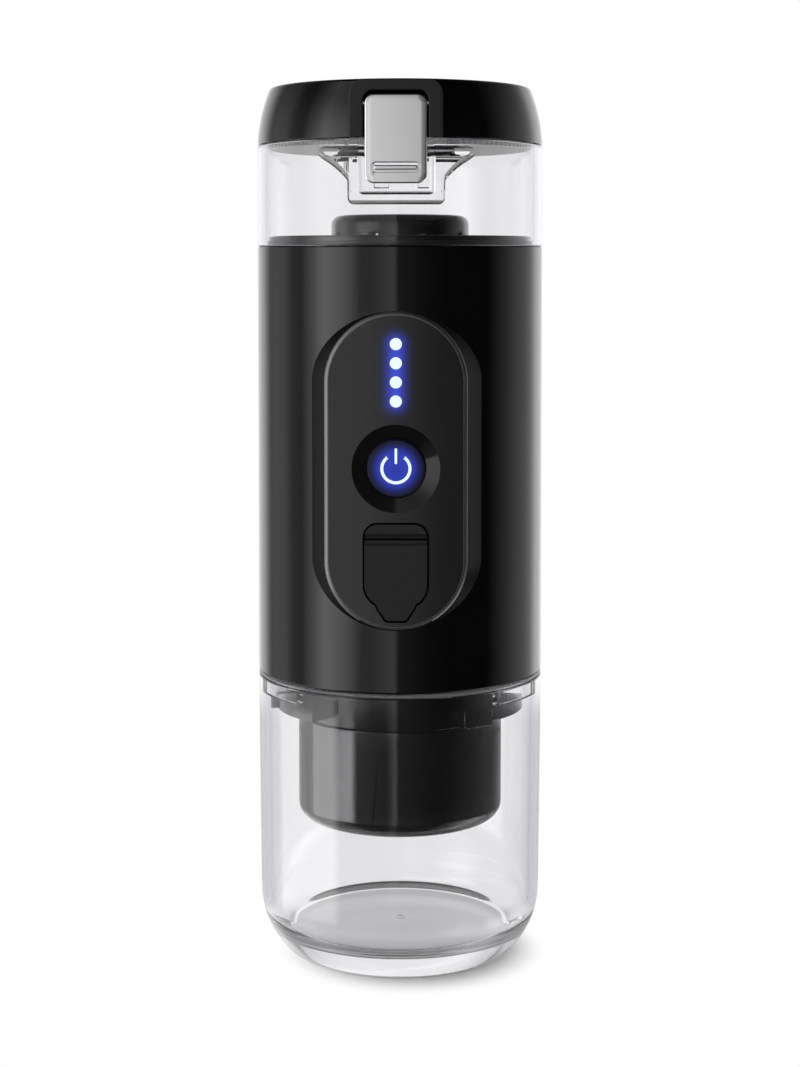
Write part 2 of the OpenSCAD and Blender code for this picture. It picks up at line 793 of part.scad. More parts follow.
// Out of the pump head, round a quarter bend and down to the heating block
module pump_outlet_hose() {
  bend_x = hose_x - bend_r;
  color("lightgray") at_pump() {
    difference() {
      union() {
        translate([bend_x, 0, z_hose - bend_r]) rotate([90, 0, 0]) rotate_extrude(angle = 90)
          translate([bend_r, 0]) circle(hose_d / 2);
        translate([hose_x, 0, z_block_top]) cylinder(h = z_hose - bend_r - z_block_top, r = hose_d / 2);
      }
      translate([bend_x, 0, z_hose - bend_r]) rotate([90, 0, 0]) rotate_extrude(angle = 90)
        translate([bend_r, 0]) circle(hose_bore / 2);
      translate([hose_x, 0, z_block_top - over])
        cylinder(h = z_hose - bend_r - z_block_top + over, r = hose_bore / 2);
    }
  }
}

// Heater
module heating_block() {
  color("darkgray") difference() {
    union() {
      disc(z_heater_floor, block_h, block_d / 2);
      disc(z_roof, z_heater_floor - z_roof + over, outlet_r);
      translate([hose_x, pump_y, 0]) disc(z_block_top - over, nipple_l + over, hose_bore / 2);
    }
    disc(z_roof - over, z_block_top - z_roof - 2, outlet_r / 2);
    translate([hose_x, pump_y, 0]) disc(z_block_top - 2, nipple_l + 4, hose_bore / 2 - nipple_wall);
  }
}

module heater_band() {
  color("goldenrod") ring(z_heater_floor + block_h / 4, block_h / 2, block_d / 2 + band_t, block_d / 2);
}

module thermostat() {
  base_r = 0.3 * block_d / 2;
  base_h = 3;
  color("tan") translate([-block_d / 5, 0, 0]) {
    disc(z_block_top, base_h, base_r);
    disc(z_block_top + base_h - over, 2 * over, base_r / 2);
  }
}

module heater_cover() {
  color("ivory") difference() {
    disc(z_sleeve_floor, heater_cover_h, heater_r);
    disc(z_heater_floor, heater_cover_h, heater_bore_r);
    disc(z_sleeve_floor - over, heater_cover_h, outlet_r + fit_gap);
    at_turns(COLLAR_SCREW_TURNS, collar_screw_ring)
      disc(z_sleeve_floor - over, sleeve_floor + 2 * over, screw_r);
    at_turns(CHASSIS_SCREW_TURNS, chassis_screw_ring)
      disc(z_deck - chassis_screw_l - screw_room, chassis_screw_l + screw_room + over, chassis_screw_r);
  }
}

// Chassis: two decks on posts, cut flat behind the control board
module chassis() {
  color("slategray") difference() {
    union() {
      disc(z_deck, deck_t, deck_r);
      disc(z_upper, deck_t, deck_r);
      at_turns(POST_TURNS, post_ring_r) disc(z_deck, z_upper_top - z_deck, post_r);
    }
    block(-deck_r, deck_r, -2 * deck_r, deck_front_y, z_deck - over, z_upper_top + over);
    at_turns(CHASSIS_SCREW_TURNS, chassis_screw_ring)
      disc(z_deck - over, deck_t + 2 * over, chassis_screw_r + fit_gap);
    at_turns(TANK_SCREW_TURNS, tank_screw_ring) disc(z_upper - over, deck_t + 2 * over, screw_r + fit_gap);
    translate([hose_x, pump_y, 0]) disc(z_deck - over, deck_t + 2 * over, hose_d / 2 + fit_gap);
    at_pump() disc(z_upper - over, deck_t + 2 * over, hose_d / 2 + fit_gap);
  }
}

module chassis_screws() {
  color("silver") at_turns(CHASSIS_SCREW_TURNS, chassis_screw_ring) {
    disc(z_deck - chassis_screw_l, chassis_screw_l + deck_t + over, chassis_screw_r);
    disc(z_deck_top, screw_head_t, screw_head_r);
  }
}

// Collar: a ring with a roof, three tabs outside and a grooved mouth for the brew head
module collar() {
  color([0.07, 0.07, 0.07]) difference() {
    union() {
      disc(z_collar, collar_h, collar_r);
      for (a = LUG_TURNS) {
        sector(z_tab + tab_step, tab_h - 2 * tab_step, tab_r, collar_r - over, a, tab_angle);
        sector(z_tab, tab_h, tongue_r, collar_r - over, a - lock_turn, tongue_angle);
      }
    }
    disc(z_collar - over, lip_h + 2 * over, lip_r);
    disc(z_lip, z_roof - z_lip, groove_r);
    for (a = NECK_TURNS)
      sector(z_collar - over, lip_h + 2 * over, neck_slot_r, lip_r - over, a + neck_turn, neck_slot_angle);
    disc(z_roof - over, collar_roof + 2 * over, outlet_r + fit_gap);
    at_turns(COLLAR_SCREW_TURNS, collar_screw_ring) {
      disc(z_roof - over, collar_roof + 2 * over, screw_r + fit_gap);
      disc(z_roof - over, screw_head_t + over, screw_head_r + fit_gap);
    }
  }
}

module collar_screws() {
  color("silver") at_turns(COLLAR_SCREW_TURNS, collar_screw_ring) {
    disc(z_roof, screw_head_t, screw_head_r);
    disc(z_roof, z_heater_floor - z_roof - fit_gap, screw_r);
  }
}

module group_gasket() {
  color("firebrick") ring(z_roof - gasket_t, gasket_t, neck_r - fit_gap, plate_r + seam_gap);
}

module shower_plate() {
  color("silver") difference() {
    union() {
      disc(z_roof - plate_t, plate_t, plate_r);
      at_turns([90, 210, 330], spike_ring_r) translate([0, 0, z_roof - plate_t - spike_l])
        cylinder(h = spike_l + plate_t / 2, r1 = 0.3, r2 = 1.2);
    }
    disc(z_roof - plate_t - over, plate_t + 2 * over, outlet_r / 2);
  }
}

// Brew head
module head_outline() {
  difference() {
    translate([0, z_head]) square([head_r, head_h]);
    translate([head_r - head_edge, z_head - over]) square([head_edge + over, head_edge + over]);
  }
  intersection() {
    translate([head_r - head_edge, z_head + head_edge]) circle(head_edge);
    translate([0, z_head]) square([head_r, head_edge + over]);
  }
}

module brew_head_shell() {
  grip_tilt = atan(grip_depth / grip_h);
  color([0.06, 0.06, 0.06]) difference() {
    union() {
      rotate_extrude() head_outline();
      disc(z_seam - over, z_neck - z_seam + over, neck_r);
      for (a = NECK_TURNS) sector(z_neck_lug, neck_lug_h, neck_lug_r, neck_r - over, a, neck_lug_angle);
    }
    disc(z_head + head_floor, z_neck - z_head, head_bore_r);
    disc(z_head - over, head_floor + 2 * over, spout_d / 2 + fit_gap);
    for (i = [0 : grip_count - 1]) rotate([0, 0, i * 360 / grip_count - 90])
      translate([head_r, 0, z_head + grip_h]) rotate([0, grip_tilt, 0])
        translate([0, -head_r, -2 * grip_h]) cube([head_r, 2 * head_r, 2 * grip_h]);
  }
}

module capsule_basket() {
  mouth = basket_d / 2;
  base = mouth - basket_taper;
  inner_h = z_rim - z_basket - basket_rim;
  color("lightgray") difference() {
    union() {
      translate([0, 0, z_basket]) cylinder(h = z_rim - z_basket, r1 = base + basket_wall, r2 = basket_r);
      disc(z_neck, basket_rim, neck_r - fit_gap);
    }
    translate([0, 0, z_basket + basket_rim]) cylinder(h = inner_h, r1 = base, r2 = mouth);
    disc(z_rim - over / 2, over, mouth);
    disc(z_basket - over, basket_rim + 2 * over, spout_d / 4);
  }
}

module needle_plate() {
  z = z_basket + basket_rim;
  needle_r = basket_d / 2 - basket_taper - 1;
  color("silver") difference() {
    disc(z, needle_t, needle_r);
    at_turns([0, 60, 120, 180, 240, 300], needle_r / 2) disc(z - over, needle_t + 2 * over, 0.8);
  }
}

module outlet_spout() {
  color([0.12, 0.12, 0.12]) ring(z_head, head_floor, spout_d / 2, spout_d / 4);
}

// Tank
module tank() {
  color([0.92, 0.93, 0.95, 0.4]) difference() {
    union() {
      ring(z_tank, tank_h, body_r, tank_bore_r);
      intersection() {
        disc(z_tank, tank_h, body_r - tank_wall / 2);
        union() {
          block(-pocket_out, pocket_out, -body_r, pocket_back_y + pocket_wall, z_pocket - pocket_wall, z_lid);
          plate_y(-body_r, pocket_back_y + pocket_wall) pocket_flares();
        }
      }
      for (s = [-1, 1]) translate([s * (ear_x + ear_w / 2), 0, 0]) hinge_ear();
    }
    block(-pocket_w / 2, pocket_w / 2, -body_r - over, pocket_back_y, z_pocket, z_lid + over);
    rod_x(catch_d / 2, -body_r, body_r, catch_y, catch_z);
    rod_x(hinge_r + move_gap, -ear_x, ear_x, hinge_y, hinge_z);
    rod_x(hinge_pin_d / 2, -body_r, body_r, hinge_y, hinge_z);
  }
}

// Fillets between the pocket's sides and the ledge under the tank's rim
module pocket_flares() {
  top = z_lid - plug_h - move_gap;
  low = top - flare_ledge - flare_r;
  for (s = [0, 1]) mirror([s, 0]) difference() {
    translate([0, low]) square([pocket_out + flare_r, flare_r + flare_ledge]);
    translate([pocket_out + flare_r, low]) circle(flare_r);
  }
}

module hinge_ear() {
  rod_x(hinge_r, -ear_w / 2, ear_w / 2, hinge_y, hinge_z);
  block(-ear_w / 2, ear_w / 2, tank_bore_r + tank_wall / 2, hinge_y, hinge_z - 2 * hinge_d, hinge_z);
}

module tank_floor() {
  color([0.07, 0.07, 0.07]) difference() {
    union() {
      disc(floor_under_z, z_tank_floor - floor_under_z, floor_r);
      ring(z_upper_top, floor_under_z - z_upper_top + over, skirt_r, skirt_r - skirt_wall);
      at_pump() disc(floor_under_z - nipple_l, nipple_l + over, hose_bore / 2);
    }
    ring(z_tank + fit_gap, seal_w, body_r, floor_r - seal_w);
    at_pump() disc(floor_under_z - 2 * nipple_l, 3 * nipple_l, hose_bore / 2 - nipple_wall);
    at_turns(TANK_SCREW_TURNS, tank_screw_ring)
      disc(z_upper_top - over, floor_under_z - z_upper_top + 2 * over, screw_r);
  }
}

module tank_seal() {
  color("dimgray") ring(z_tank + fit_gap, seal_w, tank_bore_r, floor_r - seal_w);
}

module tank_screws() {
  color("silver") at_turns(TANK_SCREW_TURNS, tank_screw_ring) {
    disc(z_upper - screw_head_t, screw_head_t, screw_head_r);
    disc(z_upper - screw_head_t, floor_under_z - z_upper + screw_head_t, screw_r);
  }
}

module cap_outline(inset) {
  r = cap_d / 2 - inset;
  top = z_tank_floor + cap_h - inset;
  edge = max(cap_edge - inset, 0.2);
  translate([0, z_tank_floor]) square([r, top - edge - z_tank_floor]);
  translate([0, z_tank_floor]) square([r - edge, top - z_tank_floor]);
  intersection() {
    translate([r - edge, top - edge]) circle(edge);
    translate([0, z_tank_floor]) square([r, cap_h]);
  }
}

module inlet_cap() {
  slot_w = 2.4;
  slot_h = 1;
  color([0.08, 0.08, 0.08]) difference() {
    rotate_extrude() cap_outline(0);
    disc(z_tank_floor - over, cap_h - cap_wall + over, cap_d / 2 - cap_wall);
    for (a = [20 : 40 : 340]) rotate([0, 0, a - 90])
      block(0, cap_d, -slot_w / 2, slot_w / 2, z_tank_floor - over, z_tank_floor + slot_h);
  }
}

module inlet_filter() {
  filter_r = cap_d / 2 - cap_wall - fit_gap;
  filter_t = 0.6;
  hole_r = 0.5;
  color("silver") difference() {
    disc(z_tank_floor, filter_t, filter_r);
    for (i = [1 : 3]) at_turns([0 : 40 / i : 359], i * filter_r / 5)
      disc(z_tank_floor - over, filter_t + 2 * over, hole_r);
  }
}

module catch_pin() {
  color("silver") rod_x(catch_d / 2, -catch_reach, catch_reach, catch_y, catch_z);
}

module hinge_pin() {
  reach = ear_x + ear_w;
  color("silver") rod_x(hinge_pin_d / 2, -reach, reach, hinge_y, hinge_z);
}

// Lid
module lid_outline(inset, low) {
  intersection() {
    translate([lid_arc_x, lid_arc_z]) circle(lid_arc_r - inset, $fn = fine);
    translate([0, low]) square([body_r, z_top - inset - low]);
  }
}

// What the rounded top edge takes off the lid's outline
module lid_edge_cut() {
  reach = lid_arc_r - lid_edge;
  rise = z_top - lid_edge - lid_arc_z;
  c = [lid_arc_x + sqrt(reach * reach - rise * rise), z_top - lid_edge];
  out = (c - [lid_arc_x, lid_arc_z]) / reach;
  difference() {
    polygon([c, c + 3 * lid_edge * out, c + [3, 3] * lid_edge, c + [0, 3] * lid_edge]);
    translate(c) circle(lid_edge);
  }
}

module lid_solid() {
  rotate_extrude($fn = fine) difference() {
    lid_outline(0, z_lid_low);
    lid_edge_cut();
  }
}

module lid_shell() {
  ear_cut = ear_w + 2 * seam_gap;
  color([0.05, 0.05, 0.05]) difference() {
    union() {
      difference() {
        lid_solid();
        rotate_extrude($fn = fine) lid_outline(lid_wall, z_lid_low - over);
      }
      rod_x(hinge_r, -hinge_w / 2, hinge_w / 2, hinge_y, hinge_z);
      block(-hinge_w / 2, hinge_w / 2, body_r - lid_wall / 2, hinge_y, hinge_z, hinge_z + hinge_r);
    }
    for (s = [-1, 1]) translate([s * (ear_x + ear_w / 2), 0, 0])
      rod_x(hinge_r + move_gap, -ear_cut / 2, ear_cut / 2, hinge_y, hinge_z);
    rod_x(hinge_pin_d / 2 + run_gap, -hinge_w, hinge_w, hinge_y, hinge_z);
    rod_x(latch_knuckle_r + move_gap, -latch_w / 2 - slot_gap, latch_w / 2 + slot_gap, pivot_y, pivot_z);
  }
}

module pocket_notch() {
  block(-notch_x, notch_x, -body_r, notch_y, z_lid - 2 * plug_h, z_lid_low);
}

module lid_liner() {
  color("whitesmoke") union() {
    rotate_extrude($fn = fine) intersection() {
      lid_outline(lid_wall + fit_gap, z_lid_low);
      translate([0, z_lid_low]) square([body_r, liner_t]);
    }
    difference() {
      disc(z_lid - plug_h, plug_h + seam_gap + liner_t / 2, plug_r - seal_t);
      pocket_notch();
    }
  }
}

module lid_seal() {
  color("whitesmoke") difference() {
    ring(z_lid - plug_h, plug_h + seam_gap, plug_r, plug_r - seal_t);
    pocket_notch();
  }
}

module latch_slot() {
  slot_w = latch_w + 2 * slot_gap;
  arch_rect(slot_w, z_lid - over, latch_rise + slot_rise + over, latch_corner + slot_gap);
}

module latch_bezel() {
  color([0.1, 0.1, 0.1]) difference() {
    plate_y(bezel_y, bezel_y + body_r / 4) difference() {
      arch_rect(bezel_w, z_lid_low, bezel_h, bezel_corner);
      latch_slot();
    }
    lid_solid();
    rod_x(latch_pin_d / 2, -bezel_w, bezel_w, pivot_y, pivot_z);
  }
}

module latch_pin() {
  reach = latch_w / 2 + slot_gap + 1.5;
  color("silver") rod_x(latch_pin_d / 2, -reach, reach, pivot_y, pivot_z);
}

module latch_spring() {
  leaf_y = latch_back_y + seam_gap;
  leaf_h = 5;
  color("silver") difference() {
    union() {
      block(-leaf_w / 2, leaf_w / 2, leaf_y, leaf_y + leaf_t, z_lid_low + leaf_t, z_lid_low + leaf_h);
      block(-leaf_w / 2, leaf_w / 2, leaf_y, -body_r + lid_wall, z_lid_low + leaf_t, z_lid_low + 2);
    }
    lid_solid();
  }
}

module latch_plate() {
  color("silver") difference() {
    union() {
      plate_y(latch_front_y, latch_back_y) round_rect(latch_w, z_latch, latch_h, latch_corner);
      plate_y(latch_front_y - ridge_t, latch_back_y)
        round_rect(ridge_w, ridge_z - ridge_h / 2, ridge_h, ridge_h / 2.2);
      rod_x(latch_knuckle_r, -latch_knuckle_w / 2, latch_knuckle_w / 2, pivot_y, pivot_z);
    }
    rod_x(latch_pin_d / 2 + run_gap, -latch_w, latch_w, pivot_y, pivot_z);
  }
}

module latch_hook() {
  color([0.12, 0.12, 0.12])
    block(-hook_w / 2, hook_w / 2, latch_back_y, hook_tip_y, catch_z - hook_h / 2, catch_z + hook_h / 2);
}

cup();
cup_seal();
housing_sleeve();
control_panel();
led_lenses();
control_board();
board_screws();
status_leds();
tact_switch();
usb_socket();
usb_cover_anchor();
usb_cover_flap();
button_cap();
button_symbol();
battery_cells();
battery_holder();
battery_tabs();
motor_can();
motor_magnets();
motor_rotor();
motor_mount();
pump_head();
pump_eccentric();
pump_inlet_hose();
pump_outlet_hose();
heating_block();
heater_band();
thermostat();
heater_cover();
chassis();
chassis_screws();
collar();
collar_screws();
group_gasket();
shower_plate();
brew_head_shell();
capsule_basket();
needle_plate();
outlet_spout();
tank();
tank_floor();
tank_seal();
tank_screws();
inlet_cap();
inlet_filter();
catch_pin();
hinge_pin();
lid_shell();
lid_liner();
lid_seal();
latch_bezel();
latch_pin();
latch_spring();
latch_plate();
latch_hook();
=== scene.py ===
"""Looks of the portable coffee machine, in metres, in the frame of its CAD model."""

import json
import math

import bpy
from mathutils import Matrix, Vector


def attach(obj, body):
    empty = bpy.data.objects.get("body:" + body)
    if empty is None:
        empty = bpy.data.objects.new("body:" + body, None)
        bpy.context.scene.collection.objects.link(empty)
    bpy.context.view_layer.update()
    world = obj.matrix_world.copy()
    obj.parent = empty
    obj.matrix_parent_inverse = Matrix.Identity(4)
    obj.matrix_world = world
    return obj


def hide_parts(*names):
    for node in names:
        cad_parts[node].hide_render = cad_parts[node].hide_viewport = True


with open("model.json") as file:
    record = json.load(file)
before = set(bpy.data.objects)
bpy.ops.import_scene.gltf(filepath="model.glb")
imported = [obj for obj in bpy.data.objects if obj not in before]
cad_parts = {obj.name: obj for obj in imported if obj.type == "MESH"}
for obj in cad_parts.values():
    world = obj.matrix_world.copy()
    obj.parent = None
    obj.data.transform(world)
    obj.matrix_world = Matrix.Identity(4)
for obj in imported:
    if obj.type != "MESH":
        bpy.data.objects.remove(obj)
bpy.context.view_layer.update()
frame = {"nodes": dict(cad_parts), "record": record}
MM = 0.001


# Modelling, in millimetres
def pick(ob):
    """Makes one object the only selected one, and active."""
    bpy.ops.object.select_all(action="DESELECT")
    ob.select_set(True)
    bpy.context.view_layer.objects.active = ob


def seal(ob):
    """Joins doubled points, turns every face outwards and leaves edit mode."""
    bpy.ops.mesh.select_all(action="SELECT")
    bpy.ops.mesh.remove_doubles(threshold=1e-6)
    bpy.ops.mesh.normals_make_consistent(inside=False)
    bpy.ops.object.mode_set(mode="OBJECT")
    return ob


def trace(name, points, y=0.0):
    """A closed line through (x, z) points, drawn by extruding one point."""
    bpy.ops.object.select_all(action="DESELECT")
    bpy.ops.mesh.primitive_plane_add(size=MM)
    ob = bpy.context.object
    ob.name = ob.data.name = name
    bpy.ops.object.mode_set(mode="EDIT")
    bpy.ops.mesh.select_all(action="SELECT")
    bpy.ops.mesh.merge(type="CENTER")
    bpy.ops.transform.translate(value=(points[0][0] * MM, y * MM, points[0][1] * MM))
    for a, b in zip(points, points[1:]):
        step = ((b[0] - a[0]) * MM, 0, (b[1] - a[1]) * MM)
        bpy.ops.mesh.extrude_vertices_move(TRANSFORM_OT_translate={"value": step})
    bpy.ops.mesh.select_all(action="SELECT")
    bpy.ops.mesh.remove_doubles(threshold=1e-6)
    bpy.ops.mesh.select_all(action="SELECT")
    return ob


def lathe(name, points, steps=160):
    """A ring from a closed outline of (radius, height), or a body from one that ends on the axis."""
    ob = trace(name, points if points[0][0] == 0 else points + points[:1])
    bpy.ops.mesh.spin(steps=steps, angle=2 * math.pi, center=(0, 0, 0), axis=(0, 0, 1))
    return seal(ob)


def plate(name, points, y0, y1):
    """A flat piece of that outline between two depths."""
    ob = trace(name, points + points[:1], y0)
    bpy.ops.mesh.edge_face_add()
    bpy.ops.mesh.extrude_region_move(TRANSFORM_OT_translate={"value": (0, (y1 - y0) * MM, 0)})
    return seal(ob)


def sector(name, r0, r1, z0, z1, turn, angle, steps=24):
    """Part of a ring, centred on a turn in degrees. A positive spin runs clockwise."""
    ob = trace(name, [(r0, z0), (r1, z0), (r1, z1), (r0, z1), (r0, z0)])
    bpy.ops.mesh.edge_face_add()
    bpy.ops.mesh.spin(steps=steps, angle=-math.radians(angle), center=(0, 0, 0), axis=(0, 0, 1))
    seal(ob)
    ob.rotation_euler.z = math.radians(turn - angle / 2)
    return settle(ob)


def settle(ob):
    """Puts an object's turn and place into its points."""
    pick(ob)
    bpy.ops.object.transform_apply(location=True, rotation=True, scale=True)
    return ob


def rod_y(name, r, y0, y1, x, z, r_back=None, sides=96):
    """A round bar or cone along y."""
    bpy.ops.object.select_all(action="DESELECT")
    r_back = r if r_back is None else r_back
    bpy.ops.mesh.primitive_cone_add(
        vertices=sides, radius1=r * MM, radius2=r_back * MM, depth=(y1 - y0) * MM,
        location=(x * MM, (y0 + y1) / 2 * MM, z * MM), rotation=(-math.pi / 2, 0, 0))
    bpy.context.object.name = name
    return settle(bpy.context.object)


def rod_x(name, r, x0, x1, y, z, sides=48):
    """A round bar along x."""
    bpy.ops.object.select_all(action="DESELECT")
    bpy.ops.mesh.primitive_cylinder_add(
        vertices=sides, radius=r * MM, depth=(x1 - x0) * MM,
        location=((x0 + x1) / 2 * MM, y * MM, z * MM), rotation=(0, math.pi / 2, 0))
    bpy.context.object.name = name
    return settle(bpy.context.object)


def block(name, x0, x1, y0, y1, z0, z1):
    """A box between two corners."""
    bpy.ops.object.select_all(action="DESELECT")
    bpy.ops.mesh.primitive_cube_add(
        size=MM, location=((x0 + x1) / 2 * MM, (y0 + y1) / 2 * MM, (z0 + z1) / 2 * MM),
        scale=(x1 - x0, y1 - y0, z1 - z0))
    bpy.context.object.name = name
    return settle(bpy.context.object)


def apply(ob, modifier):
    """Puts a modifier's result into the mesh."""
    pick(ob)
    bpy.ops.object.modifier_apply(modifier=modifier.name)
    return ob


def combine(ob, how, *tools):
    """Combines an object with tools, one by one, and takes the tools away."""
    for tool in tools:
        m = ob.modifiers.new("shape", "BOOLEAN")
        m.operation = how
        m.solver = "EXACT"
        m.object = tool
        apply(ob, m)
        bpy.data.objects.remove(tool)
    return ob


def cut(ob, *tools):
    """Takes the shapes of tools out of an object."""
    return combine(ob, "DIFFERENCE", *tools)


def join(ob, *tools):
    """Makes tools one piece with an object."""
    return combine(ob, "UNION", *tools)


def soften(ob, width, segments=3, angle=30, finish=-1):
    """Rounds every edge sharper than an angle in degrees."""
    pick(ob)
    bpy.ops.object.mode_set(mode="EDIT")
    bpy.ops.mesh.select_all(action="SELECT")
    bpy.ops.mesh.remove_doubles(threshold=5e-6)
    bpy.ops.mesh.dissolve_limited(angle_limit=math.radians(0.4))
    bpy.ops.object.mode_set(mode="OBJECT")
    m = ob.modifiers.new("soft", "BEVEL")
    m.width = width * MM
    m.segments = segments
    m.limit_method = "ANGLE"
    m.angle_limit = math.radians(angle)
    m.material = finish
    return apply(ob, m)


def smooth(ob, angle=35):
    """Smooth shading that follows the large faces."""
    pick(ob)
    bpy.ops.object.shade_smooth_by_angle(angle=math.radians(angle))
    m = ob.modifiers.new("even", "WEIGHTED_NORMAL")
    m.keep_sharp = True
    return apply(ob, m)


def raise_front(ob, width, height):
    """Crowns the front face of a plate: its middle stands proud of its border."""
    pick(ob)
    bpy.ops.object.mode_set(mode="EDIT")
    bpy.ops.mesh.select_all(action="DESELECT")
    bpy.ops.object.mode_set(mode="OBJECT")
    for face in ob.data.polygons:
        face.select = face.normal.y < -0.9
    bpy.ops.object.mode_set(mode="EDIT")
    bpy.ops.mesh.select_mode(type="FACE")
    bpy.ops.mesh.inset(thickness=width * MM, depth=height * MM)
    bpy.ops.mesh.select_mode(type="VERT")
    bpy.ops.object.mode_set(mode="OBJECT")
    return ob


def arc(cx, cz, r, a0, a1, n=8):
    """Points of an arc from one angle to another, in degrees."""
    turns = [math.radians(a0 + (a1 - a0) * i / n) for i in range(n + 1)]
    return [(cx + r * math.cos(t), cz + r * math.sin(t)) for t in turns]


def round_rect(w, z0, z1, top, low, n=8):
    """A rectangle on the centre line with its own top and lower corner radius."""
    h = w / 2
    return (arc(h - low, z0 + low, low, -90, 0, n) + arc(h - top, z1 - top, top, 0, 90, n)
            + arc(-h + top, z1 - top, top, 90, 180, n) + arc(-h + low, z0 + low, low, 180, 270, n))


def mirrored(right):
    """The right half of an outline with its left half added."""
    return right + [(-x, z) for x, z in reversed(right)]


def stadium(name, w, h, y0, y1, spread=0.0, sides=128):
    """The panel's long round shape: a cone whose two halves are moved apart in edit mode."""
    ob = rod_y(name, w / 2, y0, y1, 0, PANEL_C, w / 2 + spread, sides)
    for side in (-1, 1):
        bpy.ops.object.mode_set(mode="EDIT")
        bpy.ops.mesh.select_all(action="DESELECT")
        bpy.ops.object.mode_set(mode="OBJECT")
        for v in ob.data.vertices:
            v.select = (v.co.z - PANEL_C * MM) * side > 1e-6
        bpy.ops.object.mode_set(mode="EDIT")
        bpy.ops.transform.translate(value=(0, 0, side * (h - w) / 2 * MM))
        bpy.ops.object.mode_set(mode="OBJECT")
    return ob


# Shader nodes
def node(tree, kind, values=None, **props):
    """A shader node with its inputs set, or linked where a socket is given."""
    n = tree.nodes.new("ShaderNode" + kind)
    for key, value in props.items():
        setattr(n, key, value)
    for key, value in (values or {}).items():
        if isinstance(value, bpy.types.NodeSocket):
            tree.links.new(value, n.inputs[key])
        else:
            n.inputs[key].default_value = value
    return n


def new_group(name, inputs, outputs):
    """An empty node group with float or vector sockets."""
    g = bpy.data.node_groups.new(name, "ShaderNodeTree")
    for side, sockets in (("INPUT", inputs), ("OUTPUT", outputs)):
        for label in sockets:
            kind = "NodeSocketVector" if label == "Stretch" else "NodeSocketFloat"
            g.interface.new_socket(label, in_out=side, socket_type=kind)
    return g, g.nodes.new("NodeGroupInput").outputs, g.nodes.new("NodeGroupOutput").inputs


def math_node(tree, operation, a, b=0.0, c=0.0):
    """The result of one operation on values or sockets."""
    return node(tree, "Math", {0: a, 1: b, 2: c}, operation=operation).outputs[0]


def mix_light(tree, share, a, b):
    """A colour between two, through the mix node's colour sockets, which have the numbers 6 and 7."""
    return node(tree, "Mix", {0: share, 6: a, 7: b}, data_type="RGBA").outputs[2]


def mix_colours(tree, share, a, b):
    """A colour between two plain ones of red, green and blue."""
    return mix_light(tree, share, (*a, 1), (*b, 1))


def scale_light(tree, light, share):
    """A colour made darker by a share."""
    return node(tree, "VectorMath", {0: light, "Scale": share}, operation="SCALE").outputs[0]


def make_mottle():
    """Soft unevenness of a moulded, ground or cast surface, from 0 to 1."""
    g, ins, outs = new_group("mottle", ["Scale", "Stretch"], ["Value"])
    place = node(g, "TexCoord").outputs["Object"]
    shaped = node(g, "VectorMath", {0: place, 1: ins["Stretch"]}, operation="MULTIPLY").outputs[0]
    noise = node(g, "TexNoise", {"Vector": shaped, "Scale": ins["Scale"], "Detail": 3.0})
    g.links.new(noise.outputs[0], outs["Value"])
    return g


def make_glow():
    """Light that fades with the distance from the row of windows, and from the symbol's ring."""
    g, _, outs = new_group("glow", [], ["Row", "Symbol"])
    place = node(g, "SeparateXYZ", {0: node(g, "TexCoord").outputs["Object"]}).outputs
    x = math_node(g, "MULTIPLY", place["X"], 1 / MM)
    z = math_node(g, "MULTIPLY", place["Z"], 1 / MM)

    def squared(dx, dz):
        return math_node(g, "MULTIPLY_ADD", dx, dx, math_node(g, "MULTIPLY", dz, dz))

    up = math_node(g, "ABSOLUTE", math_node(g, "SUBTRACT", z, LED_C))
    row = squared(x, math_node(g, "MAXIMUM", math_node(g, "SUBTRACT", up, LED_REACH), 0.0))
    reach = math_node(g, "SQRT", squared(x, math_node(g, "SUBTRACT", z, BUTTON_C)))
    outside = math_node(g, "SUBTRACT", reach, SYMBOL_R)
    ring = math_node(g, "MAXIMUM", outside, math_node(g, "MULTIPLY", outside, -INWARD_SHARE))
    symbol = math_node(g, "MULTIPLY", ring, ring)
    for label, square, spread in (("Row", row, ROW_SPREAD), ("Symbol", symbol, SYMBOL_SPREAD)):
        fade = math_node(g, "EXPONENT", math_node(g, "MULTIPLY", square, -1 / spread ** 2))
        g.links.new(fade, outs[label])
    return g


def material(name, low, high, rough, scale=400.0, stretch=(1, 1, 1), bump=0.0, glow=None, **values):
    """A Principled material whose colour and roughness vary softly over the piece."""
    m = bpy.data.materials.new(name)
    m.use_nodes = True
    t = m.node_tree
    shader = t.nodes["Principled BSDF"]
    spots = t.nodes.new("ShaderNodeGroup")
    spots.node_tree = MOTTLE
    spots.inputs["Scale"].default_value = scale
    spots.inputs["Stretch"].default_value = stretch
    value = spots.outputs["Value"]
    t.links.new(mix_colours(t, value, low, high), shader.inputs["Base Color"])
    gloss = node(t, "MapRange", {"Value": value, "To Min": rough[0], "To Max": rough[1]})
    t.links.new(gloss.outputs[0], shader.inputs["Roughness"])
    if bump:
        height = node(t, "Bump", {"Strength": bump, "Distance": BUMP_DEPTH, "Height": value})
        t.links.new(height.outputs[0], shader.inputs["Normal"])
    if glow:
        light = t.nodes.new("ShaderNodeGroup")
        light.node_tree = GLOW
        lit = mix_colours(t, light.outputs[glow], (0, 0, 0), GLOW_BLUE)
        t.links.new(lit, shader.inputs["Emission Color"])
    for key, setting in values.items():
        shader.inputs[key.replace("_", " ")].default_value = setting
    return m


